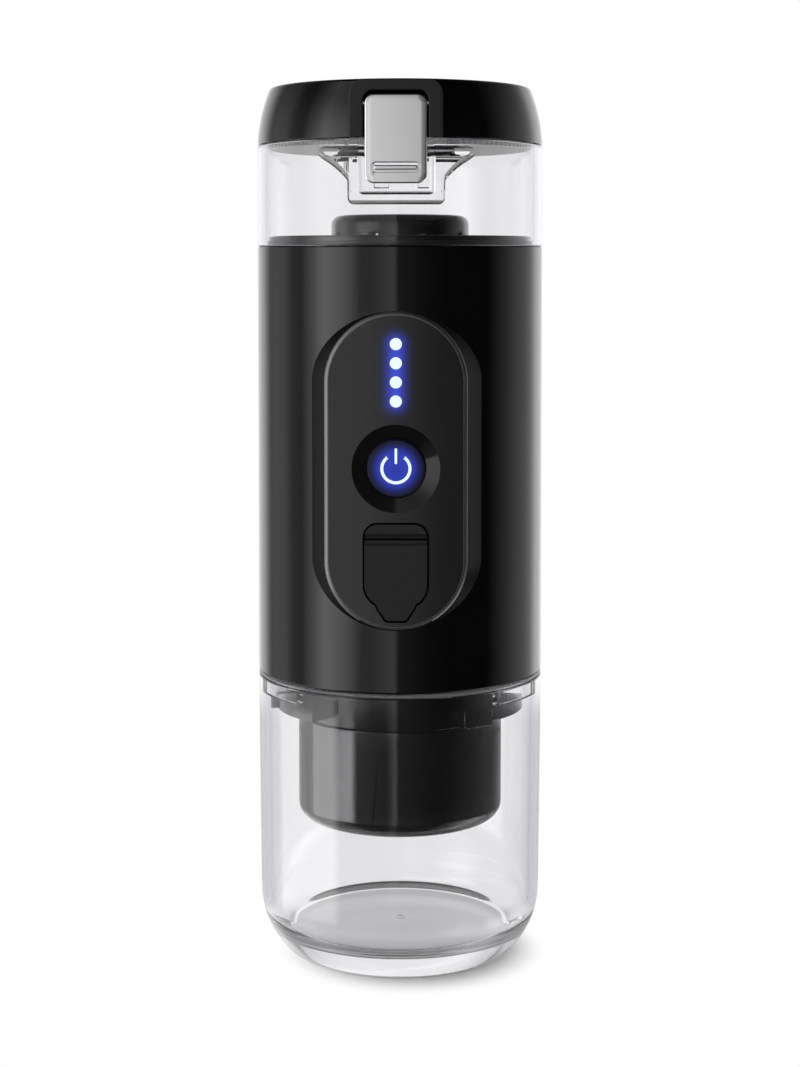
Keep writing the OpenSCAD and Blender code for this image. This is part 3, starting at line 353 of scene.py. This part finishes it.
def let_light_through(m, share=0.92):
    """Lets shadow rays pass a clear piece, so that what is under it isn't black."""
    t = m.node_tree
    out = t.nodes["Material Output"].inputs["Surface"]
    shader = t.nodes["Principled BSDF"].outputs[0]
    ray = node(t, "LightPath").outputs["Is Shadow Ray"]
    open_air = node(t, "BsdfTransparent", {"Color": (share, share, share, 1)}).outputs[0]
    mixed = node(t, "MixShader", {0: ray, 1: shader, 2: open_air})
    t.links.new(mixed.outputs[0], out)
    return m


# Sizes, in millimetres
PANEL_C = 121.5
FACE_Y = -35.6
LED_C = 144.35
LED_PITCH = 4.4
LEDS = 4
LED_REACH = (LEDS - 1) / 2 * LED_PITCH
BUTTON_C = 122.2
SYMBOL_R = 3.25
FOLD_Z = 105.8
EAR_SIDES = (-8.05, 3.95)
EAR_WIDTH = 4.1

# Depth and height of the lid's hinge, the latch's pivot and the catch pin
HINGE = (35.5, 198.5)
PIVOT = (-35.0, 206)
CATCH = (-31.25, 195.3)

# Turns of the lugs in degrees, and counts
LUG_TURNS = (-150, -30, 90)
HEAD_LUG_TURNS = (-90, 30, 150)
GRIPS = 5
SLOTS = 9
FINE = 192
# Layers of the panel: its face, its rim with a painted highlight, and its sides with painted shade
FRONT_LAYER, RIM_HIGHLIGHT_LAYER, SHADED_SIDE_LAYER = range(3)

# Glow and grain: reach in millimetres, depth in metres
ROW_SPREAD = 2.03
SYMBOL_SPREAD = 1.75
INWARD_SHARE = 0.3
GLOW_BLUE = (0.03, 0.055, 0.57)
BUMP_DEPTH = 0.00005

MOTTLE = make_mottle()
GLOW = make_glow()

# Materials: one for each finish in the record, and others for single pieces or faces
gloss_black = material("gloss_black", (0.0008, 0.0008, 0.0009), (0.0016, 0.0016, 0.0018), (0.05, 0.08), 60)
head_black = material("head_black", (0.0008, 0.0008, 0.0009), (0.0016, 0.0016, 0.0018), (0.06, 0.09), 60,
                      Specular_IOR_Level=1.0)
satin_black = material("satin_black", (0.005, 0.005, 0.0055), (0.008, 0.008, 0.0085), (0.26, 0.3), 900,
                       bump=0.03, Specular_IOR_Level=0.4)
panel_black = material("panel_black", (0.002, 0.002, 0.0022), (0.004, 0.004, 0.0043), (0.075, 0.1), 90,
                       glow="Row", Emission_Strength=1.0)
# The panel's black bevel gets a pale metal colour: a painted highlight, so that its rim mirrors the light
# boxes brightly
panel_rim_highlight = material("panel_rim_highlight", (0.2, 0.2, 0.205), (0.25, 0.25, 0.255), (0.42, 0.48), 300, Metallic=1.0)
# The panel's sides are a copy of its black that mirrors almost nothing: painted shade
panel_shaded_side = material("panel_shaded_side", (0.004, 0.004, 0.0043), (0.006, 0.006, 0.0063), (0.3, 0.36), 900,
                      Specular_IOR_Level=0.04)
button_black = material("button_black", (0.004, 0.004, 0.005), (0.007, 0.007, 0.008), (0.12, 0.16), 300,
                        glow="Symbol", Emission_Strength=0.75, Specular_IOR_Level=0.2)
clear_plastic = let_light_through(material(
    "clear_plastic", (0.965, 0.965, 0.975), (0.985, 0.985, 0.992), (0.0, 0.012), 40,
    IOR=1.49, Transmission_Weight=1.0))
frosted_plastic = let_light_through(material(
    "frosted_plastic", (0.34, 0.34, 0.355), (0.4, 0.4, 0.415), (0.3, 0.4), 500,
    IOR=1.49, Transmission_Weight=1.0))
clear_silicone = let_light_through(material(
    "clear_silicone", (0.72, 0.72, 0.74), (0.8, 0.8, 0.82), (0.22, 0.3), 300,
    IOR=1.41, Transmission_Weight=0.9), share=0.7)
black_rubber = material("black_rubber", (0.006, 0.006, 0.0065), (0.009, 0.009, 0.0095), (0.34, 0.4), 1200,
                        bump=0.05, Specular_IOR_Level=0.4)
lit_white = material("lit_white", (0.04, 0.04, 0.06), (0.06, 0.06, 0.08), (0.4, 0.45), 600,
                     Emission_Color=(0.82, 0.94, 1.0, 1), Emission_Strength=0.97)
satin_steel = material("satin_steel", (0.90, 0.90, 0.91), (0.95, 0.95, 0.96), (0.2, 0.23), 250, Metallic=1.0)
bright_steel = material("bright_steel", (0.56, 0.56, 0.57), (0.66, 0.66, 0.67), (0.14, 0.22), 700,
                        Metallic=1.0)
board_green = material("board_green", (0.01, 0.07, 0.03), (0.02, 0.11, 0.05), (0.35, 0.45), 500,
                       Coat_Weight=0.3)
chip_white = material("chip_white", (0.75, 0.75, 0.70), (0.85, 0.85, 0.80), (0.3, 0.4), 800)
grey_plastic = material("grey_plastic", (0.16, 0.165, 0.17), (0.21, 0.215, 0.22), (0.4, 0.48), 700, bump=0.05)
white_plastic = material("white_plastic", (0.84, 0.83, 0.81), (0.9, 0.89, 0.87), (0.4, 0.5), 600, bump=0.05)
cell_wrap = material("cell_wrap", (0.03, 0.09, 0.30), (0.05, 0.13, 0.38), (0.2, 0.3), 200)
magnet_grey = material("magnet_grey", (0.05, 0.05, 0.055), (0.08, 0.08, 0.085), (0.5, 0.6), 500)
copper_wound = material("copper_wound", (0.42, 0.16, 0.07), (0.55, 0.24, 0.11), (0.28, 0.38), 900,
                        stretch=(1, 1, 12), bump=0.3, Metallic=1.0)
brass = material("brass", (0.50, 0.35, 0.12), (0.60, 0.43, 0.17), (0.22, 0.32), 500, Metallic=1.0)
block_aluminium = material("block_aluminium", (0.50, 0.51, 0.52), (0.60, 0.61, 0.62), (0.3, 0.42), 600,
                           bump=0.06, Metallic=1.0)
hose_rubber = material("hose_rubber", (0.55, 0.55, 0.53), (0.65, 0.65, 0.63), (0.35, 0.45), 500)
red_rubber = material("red_rubber", (0.30, 0.03, 0.02), (0.38, 0.045, 0.03), (0.45, 0.55), 900)
FINISHES = {
    "clear_plastic": clear_plastic, "clear_silicone": clear_silicone, "gloss_black": gloss_black,
    "satin_black": satin_black, "black_rubber": black_rubber, "lit_white": lit_white,
    "satin_steel": satin_steel, "bright_steel": bright_steel, "board_green": board_green,
    "chip_white": chip_white, "grey_plastic": grey_plastic, "white_plastic": white_plastic,
    "cell_wrap": cell_wrap, "magnet_grey": magnet_grey, "copper_wound": copper_wound, "brass": brass,
    "block_aluminium": block_aluminium, "hose_rubber": hose_rubber, "red_rubber": red_rubber,
}


def place(ob, body, slot, *nodes, finish=None, angle=35):
    """Shades a finished piece, gives it its finish and hangs it on its CAD body."""
    pick(ob)
    bpy.ops.object.mode_set(mode="EDIT")
    seal(ob)
    smooth(ob, angle)
    if not ob.data.materials:
        ob.data.materials.append(finish or FINISHES[slot])
    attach(ob, body)
    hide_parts(*nodes)
    return ob


# Cup and its ring
cup_line = ([(0, 0), (26.7, 0), (27.25, 0.08), (27.68, 0.24)] + arc(14.75, 15, 19.75, -47.6, 0, 20)
            + arc(34.6, 68.08, 0.4, 0, 90, 5) + arc(33.0, 68.08, 0.4, 90, 180, 5)
            + arc(26.4, 11.7, 5.7, 0, -90, 14) + [(1.6, 6), (1.3, 6.18), (0.9, 6.18), (0.6, 6), (0, 6)])
cup = lathe("cup_glass", cup_line, FINE)
for turn in LUG_TURNS:
    join(cup, soften(sector("lug", 30.9, 33.6, 64.5, 67.8, turn, 30), 0.3))
for layer in (clear_plastic, frosted_plastic):
    cup.data.materials.append(layer)
# The underside is frosted
for face in cup.data.polygons:
    face.material_index = int(face.normal.z < -0.95 and face.center.z < 0.3 * MM)
place(cup, "cup", "clear_plastic", "cup")

ring_line = [(32.6, 68.54), (34.5, 68.54)] + arc(34.5, 69.0, 0.4, -80, 80, 6) + [(34.5, 69.46), (32.6, 69.46)]
place(lathe("cup_ring", ring_line), "seal_ring", "clear_silicone", "cup_seal")

# Housing
sleeve_line = ([(8, 69.5)] + arc(34.5, 70.0, 0.5, -90, 0, 5) + arc(34.6, 173.1, 0.4, 0, 90, 5)
               + [(32.8, 173.5), (32.8, 72), (8, 72)])
sleeve = cut(lathe("sleeve", sleeve_line, FINE), stadium("opening", 31.5, 72.4, -38, -20))
place(sleeve, "housing", "gloss_black", "housing_sleeve")


def cover_line(grow=0.0):
    """Outline of the charging cover: round top, straight sides, round shoulders and a pull tab."""
    top = arc(4.25, FOLD_Z + 0.5, 3 + grow, 90, 0, 8)
    shoulder = arc(2.05, FOLD_Z - 10.5, 5.2 + grow, 0, -62, 10)
    neck = arc(5.1, FOLD_Z - 16.3, 1.0 - grow, 128, 170, 4)
    tab = arc(1.7, FOLD_Z - 17.75, 1.15 + grow, -14, -90, 6)
    return mirrored(top + shoulder + neck + tab)


panel = stadium("panel", 32.5, 73.4, FACE_Y, -27.5, 4.27)
for layer in (panel_black, panel_rim_highlight, panel_shaded_side):
    panel.data.materials.append(layer)
# The bevel takes the rim's painted highlight
soften(panel, 0.65, 5, finish=RIM_HIGHLIGHT_LAYER)
# Faces that don't face the front take the painted shade of the sides
for face in panel.data.polygons:
    if face.material_index == FRONT_LAYER and face.normal.y > -0.9:
        face.material_index = SHADED_SIDE_LAYER
cut(panel, stadium("hollow", 29, 69.9, -33.1, -20),
    rod_y("dish", 11.2, FACE_Y - 0.35, FACE_Y + 1.2, 0, BUTTON_C, 6.85),
    rod_y("hole", 6.85, -37, -32, 0, BUTTON_C),
    *[rod_y("window", 1.4, -37, -32, 0, LED_C + (i - (LEDS - 1) / 2) * LED_PITCH, sides=44)
      for i in range(LEDS)],
    plate("seat", cover_line(0.45), -37, -33.7), block("port", -5, 5, -37, -30, 97.9, 102.1))
# The faces of the cover's seat take the sides' painted shade: they mirror almost nothing
for face in panel.data.polygons:
    x, y, z = face.center / MM
    if abs(x) < 8.2 and y > FACE_Y + 0.3 and 84 < z < 111:
        face.material_index = SHADED_SIDE_LAYER
place(panel, "housing", "satin_black", "control_panel", angle=15)

button = soften(rod_y("button_dome", 6.65, -35.17, -33.0, 0, BUTTON_C), 0.3, 3)
join(button, rod_y("flange", 7.65, -33.0, -32.2, 0, BUTTON_C))
place(button, "button", "satin_black", "button_cap", finish=button_black)


def symbol_line(r, stroke, gap):
    """An open ring with round ends, its gap at the top given in degrees to each side."""
    a, b = math.radians(90 - gap), math.radians(90 + gap)
    ends = [(r * math.cos(t), BUTTON_C + r * math.sin(t)) for t in (a, b)]
    h = stroke / 2
    outer = arc(0, BUTTON_C, r + h, 90 - gap, gap - 270, 64)
    inner = arc(0, BUTTON_C, r - h, gap - 270, 90 - gap, 64)
    left_end = arc(*ends[1], h, 90 + gap, 270 + gap, 8)[1:-1]
    right_end = arc(*ends[0], h, 270 - gap, 450 - gap, 8)[1:-1]
    return outer + left_end + inner + right_end


symbol = plate("symbol", symbol_line(SYMBOL_R, 0.7, 33), -35.22, -35.0)
bar = arc(0, BUTTON_C + 4.45, 0.29, 0, 180, 8) + arc(0, BUTTON_C + 1.35, 0.29, 180, 360, 8)
join(symbol, plate("bar", bar, -35.22, -35.0))
place(symbol, "button", "lit_white", "button_symbol")

fold = rod_x("fold", 2.2, -9, 9, FACE_Y - 1.72, FOLD_Z, 96)
strip = plate("cover_strip", cover_line(), FACE_Y, -34.5)
cut(strip, block("below", -9, 9, -38, -30, 80, FOLD_Z + 0.2))
flap = plate("cover_flap", cover_line(), FACE_Y, -34.5)
cut(flap, block("above", -9, 9, -38, -30, FOLD_Z - 0.2, 120))
for piece in (strip, flap):
    copy = fold.copy()
    copy.data = fold.data.copy()
    bpy.context.collection.objects.link(copy)
    cut(piece, copy)
bpy.data.objects.remove(fold)
join(flap, soften(block("stub", -3.75, 3.75, -35.0, -32.9, 98.8, 101.2), 0.5))
place(soften(strip, 0.16, 3, 40), "housing", "black_rubber", "usb_cover_anchor")
place(soften(flap, 0.16, 3, 40), "usb_flap", "black_rubber", "usb_cover_flap")

# Collar and brew head
collar_line = ([(22.8, 58.7)] + arc(25.1, 59.0, 0.3, -90, 0, 4)
               + [(25.4, 69.5), (2.6, 69.5), (2.6, 66.2), (24.1, 66.2), (24.1, 61.5), (22.8, 61.5)])
collar = lathe("bayonet_collar", collar_line)
for turn in LUG_TURNS:
    join(collar, soften(sector("tab", 24.6, 30.5, 60.4, 64.0, turn, 40), 0.35),
         soften(sector("tongue", 24.6, 32.2, 60.1, 64.3, turn - 24, 14), 0.35))
place(collar, "housing", "gloss_black", "collar")

head_line = ([(4.1, 32.5)] + arc(21.2, 36.5, 4, -90, 0, 10) + arc(24.9, 58.2, 0.3, 0, 90, 4)
             + [(22.4, 58.5), (22.4, 64.2), (20.3, 64.2), (20.3, 36), (4.1, 36)])
head = lathe("brew_head_skirt", head_line)


def arch_line(foot, top, low, high, grow):
    """Outline of a finger grip: a wide foot, leaning sides and a round top."""
    right = [(foot / 2 + grow, low)] + arc(0, high - top / 2, top / 2 + grow, 5, 90, 10)
    return right + [(-x, z) for x, z in reversed(right[:-1])]


for i in range(GRIPS):
    grip = plate("grip", arch_line(12.6, 8.6, 30, 55.5, 0.2), -30, -20)
    cut(grip, plate("grip_middle", arch_line(12.6, 8.6, 29, 55.5, -0.2), -31, -19))
    combine(grip, "INTERSECT", lathe("grip_depth", [(24.7, 33), (27, 33), (27, 58), (24.7, 58)], 96))
    grip.rotation_euler.z = math.radians(360 / GRIPS * i)
    cut(head, settle(grip))
for turn in HEAD_LUG_TURNS:
    join(head, sector("neck_lug", 21.6, 23.7, 61.7, 63.7, turn, 24))
place(head, "brew_head", "gloss_black", "brew_head_shell", finish=head_black)

# Tank
wall_line = (arc(33.0, 173.9, 0.35, 180, 270, 4) + arc(34.6, 173.92, 0.4, -90, 0, 5)
             + arc(34.6, 197.6, 0.4, 0, 90, 5) + arc(33.0, 197.6, 0.4, 90, 180, 5))
tank = lathe("tank_wall", wall_line, FINE)
flare = [(10.95, 183)] + arc(26, 176.9, 19, 142, 90, 16) + [(31, 195.9), (31, 204)]
pocket = plate("pocket", mirrored(flare), -38, -27)
soften(pocket, 1.5, 6, 45)
combine(pocket, "INTERSECT", lathe("inside", [(0, 170), (33.9, 170), (33.9, 196.8), (0, 196.8)], 180))
join(tank, pocket)
cut(tank, soften(block("mouth", -8.75, 8.75, -39, -29.2, 185.2, 203), 1.3, 5),
    rod_x("pin_bore", 1.25, -36, 36, *CATCH), rod_x("knuckle_room", 2.8, -3.85, 3.85, *HINGE))
ear_line = [(33.9, 188.9), (34.9, 188.9), (35.4, 189.4)] + arc(*HINGE, 2.4, -93, 132, 24)
for side in EAR_SIDES:
    ear = soften(plate("ear", ear_line, side, side + EAR_WIDTH), 0.25)
    ear.rotation_euler.z = math.pi / 2
    join(tank, settle(ear))
cut(tank, rod_x("hinge_bore", 1.05, -9, 9, *HINGE))
place(tank, "housing", "clear_plastic", "tank", angle=30)

floor_line = ([(0, 171.5), (32.4, 171.5)] + arc(31.9, 175.5, 0.5, 0, 90, 5)
              + [(30.2, 176), (29.9, 175.6), (28.9, 175.6), (28.6, 176), (0, 176)])
place(lathe("tank_base", floor_line), "housing", "gloss_black", "tank_floor")

cap_line = ([(0, 181.2)] + arc(14.6, 178.8, 2.4, 90, 0, 12) + [(17, 176), (15, 176), (15, 179.2), (0, 179.2)])
cap = lathe("inlet_dome", cap_line)
for i in range(SLOTS):
    slot = block("slot", 0, 20, -1.2, 1.2, 175, 177)
    slot.rotation_euler.z = math.radians(360 / SLOTS * i - 70)
    cut(cap, settle(slot))
place(cap, "housing", "gloss_black", "inlet_cap")

# Lid and latch
lid_top = [(0, 212)] + arc(31.205, 211, 1, 90, 21.83, 6) + arc(-5, 196.5, 40, 21.0, 3.2, 18)
lid = lathe("lid_dome", lid_top + arc(34.56, 198.55, 0.35, 0, -90, 4)
            + arc(-5, 196.5, 38, 2.57, 20.81, 14) + [(0, 210)], FINE)
join(lid, soften(rod_x("lid_knuckle", 2.4, -3.7, 3.7, *HINGE), 0.2),
     block("leaf", -3.5, 3.5, 33.6, 35.8, 198.6, 200.6))
cut(lid, rod_x("lid_bore", 1.05, -9, 9, *HINGE), rod_x("pivot_room", 1.7, -7.5, 7.5, *PIVOT),
    *[rod_x("ear_room", 2.8, x0, x1, *HINGE) for x0, x1 in ((3.7, 8.3), (-8.3, -3.7))])
place(lid, "lid", "gloss_black", "lid_shell")

bezel = plate("latch_frame", round_rect(21.5, 198.2, 211.5, 3.7, 0.4), -36.2, -27.5)
cut(bezel, plate("slot", round_rect(15.0, 196, 208.9, 2.35, 0.5), -40, -20))
soften(bezel, 0.3, 3)
cut(bezel, lathe("lid_body", lid_top + [(34.96, 197.5), (0, 197.5)], FINE))
place(bezel, "lid", "satin_black", "latch_bezel")

latch = raise_front(plate("latch_lever", round_rect(14.3, 187.7, 208, 2.1, 2.1), -36.45, -35.6), 1.4, 0.15)
soften(latch, 0.36, 4)
cut(latch, plate("press", round_rect(11.2, 190.2, 192.6, 1.15, 1.15), -37, -36.1),
    plate("slit", round_rect(10.0, 191.9, 192.35, 0.2, 0.2), -37, -35))
soften(latch, 0.24, 3, 60)
join(latch, soften(plate("ridge", round_rect(10.0, 190.75, 191.85, 0.5, 0.5), -36.85, -35.9), 0.35, 4),
     rod_x("latch_knuckle", 1.3, -5, 5, *PIVOT))
place(latch, "latch", "satin_steel", "latch_plate")

# Finishes of the CAD nodes that stay
slots = {part["node"]: part["material_slot"] for part in frame["record"]["subparts"]}
for name, ob in frame["nodes"].items():
    if not ob.hide_render:
        ob.data.materials.clear()
        ob.data.materials.append(FINISHES[slots[name]])


# Floor, light and camera
def stage_object(name, mat):
    """Makes the active object part of the stage."""
    ob = bpy.context.object
    ob.name = name
    ob.data.materials.append(mat)
    return ob


def white_world():
    """White for what is seen directly, mirrored or through clear plastic, and a soft fill otherwise."""
    world = bpy.data.worlds.new("studio")
    bpy.context.scene.world = world
    world.use_nodes = True
    t = world.node_tree
    ray = node(t, "LightPath").outputs
    seen = math_node(t, "MAXIMUM", ray["Is Camera Ray"],
                     math_node(t, "MAXIMUM", ray["Is Glossy Ray"], ray["Is Transmission Ray"]))
    back = t.nodes["Background"]
    back.inputs["Color"].default_value = (1, 1, 1, 1)
    strength = node(t, "MapRange", {"Value": seen, "To Min": FILL, "To Max": 1.0})
    t.links.new(strength.outputs[0], back.inputs["Strength"])


def ease(t, value, low, high, at_low, at_high):
    """A soft step of a value between two limits."""
    limits = {"Value": value, "From Min": low, "From Max": high, "To Min": at_low, "To Max": at_high}
    return node(t, "MapRange", limits, interpolation_type="SMOOTHSTEP").outputs[0]


def floor_paint():
    """Pale matt floor that turns into plain white away from the object."""
    m = bpy.data.materials.new("floor_paint")
    m.use_nodes = True
    t = m.node_tree
    matt = t.nodes["Principled BSDF"]
    matt.inputs["Base Color"].default_value = (0.9, 0.9, 0.9, 1)
    matt.inputs["Roughness"].default_value = 1.0
    matt.inputs["Specular IOR Level"].default_value = 0.0
    here = node(t, "TexCoord").outputs["Object"]
    spot = node(t, "VectorMath", {0: here, 1: SHADOW_AT}, operation="SUBTRACT")
    far = node(t, "VectorMath", {0: spot.outputs[0]}, operation="LENGTH").outputs["Value"]
    fade = ease(t, far, *SHADOW_R, 0.0, 1.0)
    white = node(t, "Emission", {"Color": (1, 1, 1, 1), "Strength": 1.0}).outputs[0]
    both = node(t, "MixShader", {0: fade, 1: matt.outputs[0], 2: white})
    t.links.new(both.outputs[0], t.nodes["Material Output"].inputs["Surface"])
    return m


def light_ramp(t, share, lights):
    """Colours round the object, from (degrees, light) or (degrees, red, green, blue)."""
    ramp = node(t, "ValToRGB", {0: share})
    stops = ramp.color_ramp.elements
    while len(stops) > 1:
        stops.remove(stops[0])
    stops[0].position = 0.0
    for i, (degrees, *light) in enumerate(lights):
        stop = stops.new((degrees + 180) / 360) if i else stops[0]
        stop.color = tuple(c / WALL_TOP for c in (light * 3)[:3]) + (1,)
    return ramp.outputs["Color"]


def wall_paint():
    """Soft boxes and dark flags that mirrors see, and the pale backdrop that shows through clear plastic.

    What is mirrored inside a clear wall sees the backdrop with a dark front, and rays off matt faces see an
    even fill.
    """
    m = bpy.data.materials.new("wall_paint")
    m.use_nodes = True
    t = m.node_tree
    t.nodes.remove(t.nodes["Principled BSDF"])
    place = node(t, "SeparateXYZ", {0: node(t, "TexCoord").outputs["Object"]}).outputs
    turn = math_node(t, "ARCTAN2", place["X"], math_node(t, "MULTIPLY", place["Y"], -1.0))
    share = node(t, "MapRange", {"Value": turn, "From Min": -math.pi, "From Max": math.pi}).outputs[0]
    z = place["Z"]
    low = ease(t, z, *LOW_Z, 1.0, 0.0)
    boxes = mix_light(t, low, light_ramp(t, share, WALL), light_ramp(t, share, LOW_WALL))
    shade = math_node(t, "MULTIPLY", ease(t, z, *HIGH_Z, 1.0, HIGH), ease(t, z, *TOP_Z, 1.0, TOP))
    deep = ease(t, z, *DEEP_Z, 1.0, 0.0)
    shaded = mix_light(t, deep, scale_light(t, boxes, shade), light_ramp(t, share, DEEP_WALL))
    # Far below the floor the backdrop turns near black: painted shade of the table under the cup
    seen = scale_light(t, light_ramp(t, share, BACKDROP), ease(t, z, *TABLE_SHADE_Z, TABLE_SHADE, 1.0))
    front_dark = ease(t, math_node(t, "ABSOLUTE", turn), *FRONT_TURN, FRONT, 1.0)
    ray = node(t, "LightPath").outputs
    inside = math_node(t, "COMPARE", ray["Transmission Depth"], 2.0, 0.5)
    mirror = mix_light(t, inside, shaded, scale_light(t, seen, front_dark))
    light = mix_light(t, math_node(t, "MINIMUM", ray["Glossy Depth"], 1.0), seen, mirror)
    fill = (1 / WALL_TOP,) * 3 + (1,)
    light = mix_light(t, math_node(t, "MINIMUM", ray["Diffuse Depth"], 1.0), light, fill)
    glow = node(t, "Emission", {"Color": light, "Strength": WALL_TOP}).outputs[0]
    t.links.new(glow, t.nodes["Material Output"].inputs["Surface"])
    return m


# Light round the object, by degrees from the front, and the heights in metres where it changes
FILL = 0.85
WALL_TOP = 3.5
WALL = [(-180, 0.95), (-150, 1.3), (-138, 1.3), (-124, 0.45), (-114, 0.65), (-102, 0.75), (-92, 0.4),
        (-82, 0.35), (-70, 1.3), (-60, 2.5), (-44, 1.85), (-36, 1.2), (-29, 0.55), (-20, 0.55), (-5, 0.9),
        (-2.2, 0.9), (-0.4, 0.2), (22, 0.06), (40, 0.02), (74, 0.015), (86, 0.2), (104, 0.55), (118, 0.7),
        (128, 0.9), (140, 1.6), (180, 0.95)]
LOW_WALL = [(-180, 0.8), (-140, 0.3), (-113, 0.5), (-107, 1.9), (-80, 2.4), (-54, 3.4), (-47, 0.22),
            (-10, 0.1), (-3, 0.5), (0, 0.1), (40, 0.03), (90, 0.02), (128, 0.1), (150, 0.3), (180, 0.8)]
DEEP_WALL = [(-180, 0.5), (-150, 1.4), (-120, 0.6), (-80, 0.7), (-50, 0.04), (45, 0.03), (70, 0.6),
             (95, 1.9), (120, 0.6), (180, 0.5)]
BACKDROP = [(-180, 0.92, 0.92, 0.93), (-166, 0.9, 0.9, 0.91), (-158, 0.86, 0.86, 0.88),
            (-150, 0.74, 0.74, 0.78), (-125, 0.66, 0.66, 0.71), (-90, 0.8, 0.8, 0.83), (0, 0.92, 0.92, 0.93),
            (90, 0.78, 0.78, 0.81), (125, 0.6, 0.6, 0.65), (150, 0.7, 0.7, 0.74), (158, 0.83, 0.83, 0.85),
            (166, 0.88, 0.88, 0.89), (180, 0.92, 0.92, 0.93)]
LOW_Z = (-0.155, -0.12)
DEEP_Z = (-0.42, -0.27)
HIGH_Z = (0.2, 0.85)
HIGH = 0.3
TOP_Z = (1.1, 1.45)
TOP = 0.1
# Far below the floor the backdrop is near black: painted shade of the table under the cup, seen through its
# base
TABLE_SHADE_Z = (-0.82, -0.74)
TABLE_SHADE = 0.04
FRONT_TURN = (math.radians(30), math.radians(120))
FRONT = 0.04
SHADOW_AT = (0.003, -0.005, 0.0)
SHADOW_R = (0.022, 0.034)
FLOOR_R = 4.0
FLOOR_Z = -0.0002
WALL_R = 0.9
WALL_H = 2.5
WALL_MIDDLE = 0.25
ROUND = 96
white_world()
bpy.ops.object.select_all(action="DESELECT")
bpy.ops.mesh.primitive_circle_add(vertices=ROUND, radius=FLOOR_R, fill_type="NGON", location=(0, 0, FLOOR_Z))
floor = stage_object("floor", floor_paint())
floor.visible_glossy = floor.visible_transmission = False
bpy.ops.object.select_all(action="DESELECT")
bpy.ops.mesh.primitive_cylinder_add(vertices=ROUND, radius=WALL_R, depth=WALL_H, end_fill_type="NGON",
                                    location=(0, 0, WALL_MIDDLE))
settle(bpy.context.object)
wall = stage_object("light_wall", wall_paint())
wall.visible_camera = wall.visible_diffuse = wall.visible_shadow = False

KEY_AT = (-0.28, 0.18, 0.9)
KEY_AIM = Vector((0, 0, 0.08))
KEY_SIZE = 0.6
KEY_POWER = 3.0
bpy.ops.object.light_add(type="AREA", location=KEY_AT)
key = bpy.context.object
key.data.shape = "DISK"
key.data.size = KEY_SIZE
key.data.energy = KEY_POWER
key.visible_glossy = False
key.visible_camera = False
key.rotation_euler = (KEY_AIM - key.location).to_track_quat("-Z", "Y").to_euler()

DISTANCE = 0.494
EYE = 0.170
TURN = math.radians(1.55)
TILT = math.radians(87)
FOCAL_PX = 2000.0
FRAME_PX = 1067.0
RISE_PX = -167.7
SENSOR = 36.0
bpy.ops.object.camera_add(location=(DISTANCE * math.sin(TURN), -DISTANCE * math.cos(TURN), EYE),
                          rotation=(TILT, 0, TURN))
camera = bpy.context.object
camera.data.sensor_width = SENSOR
camera.data.lens = SENSOR * FOCAL_PX / FRAME_PX
camera.data.shift_y = RISE_PX / FRAME_PX
camera.data.clip_start = 0.01
bpy.context.scene.camera = camera
bpy.context.scene.view_settings.view_transform = "Standard"
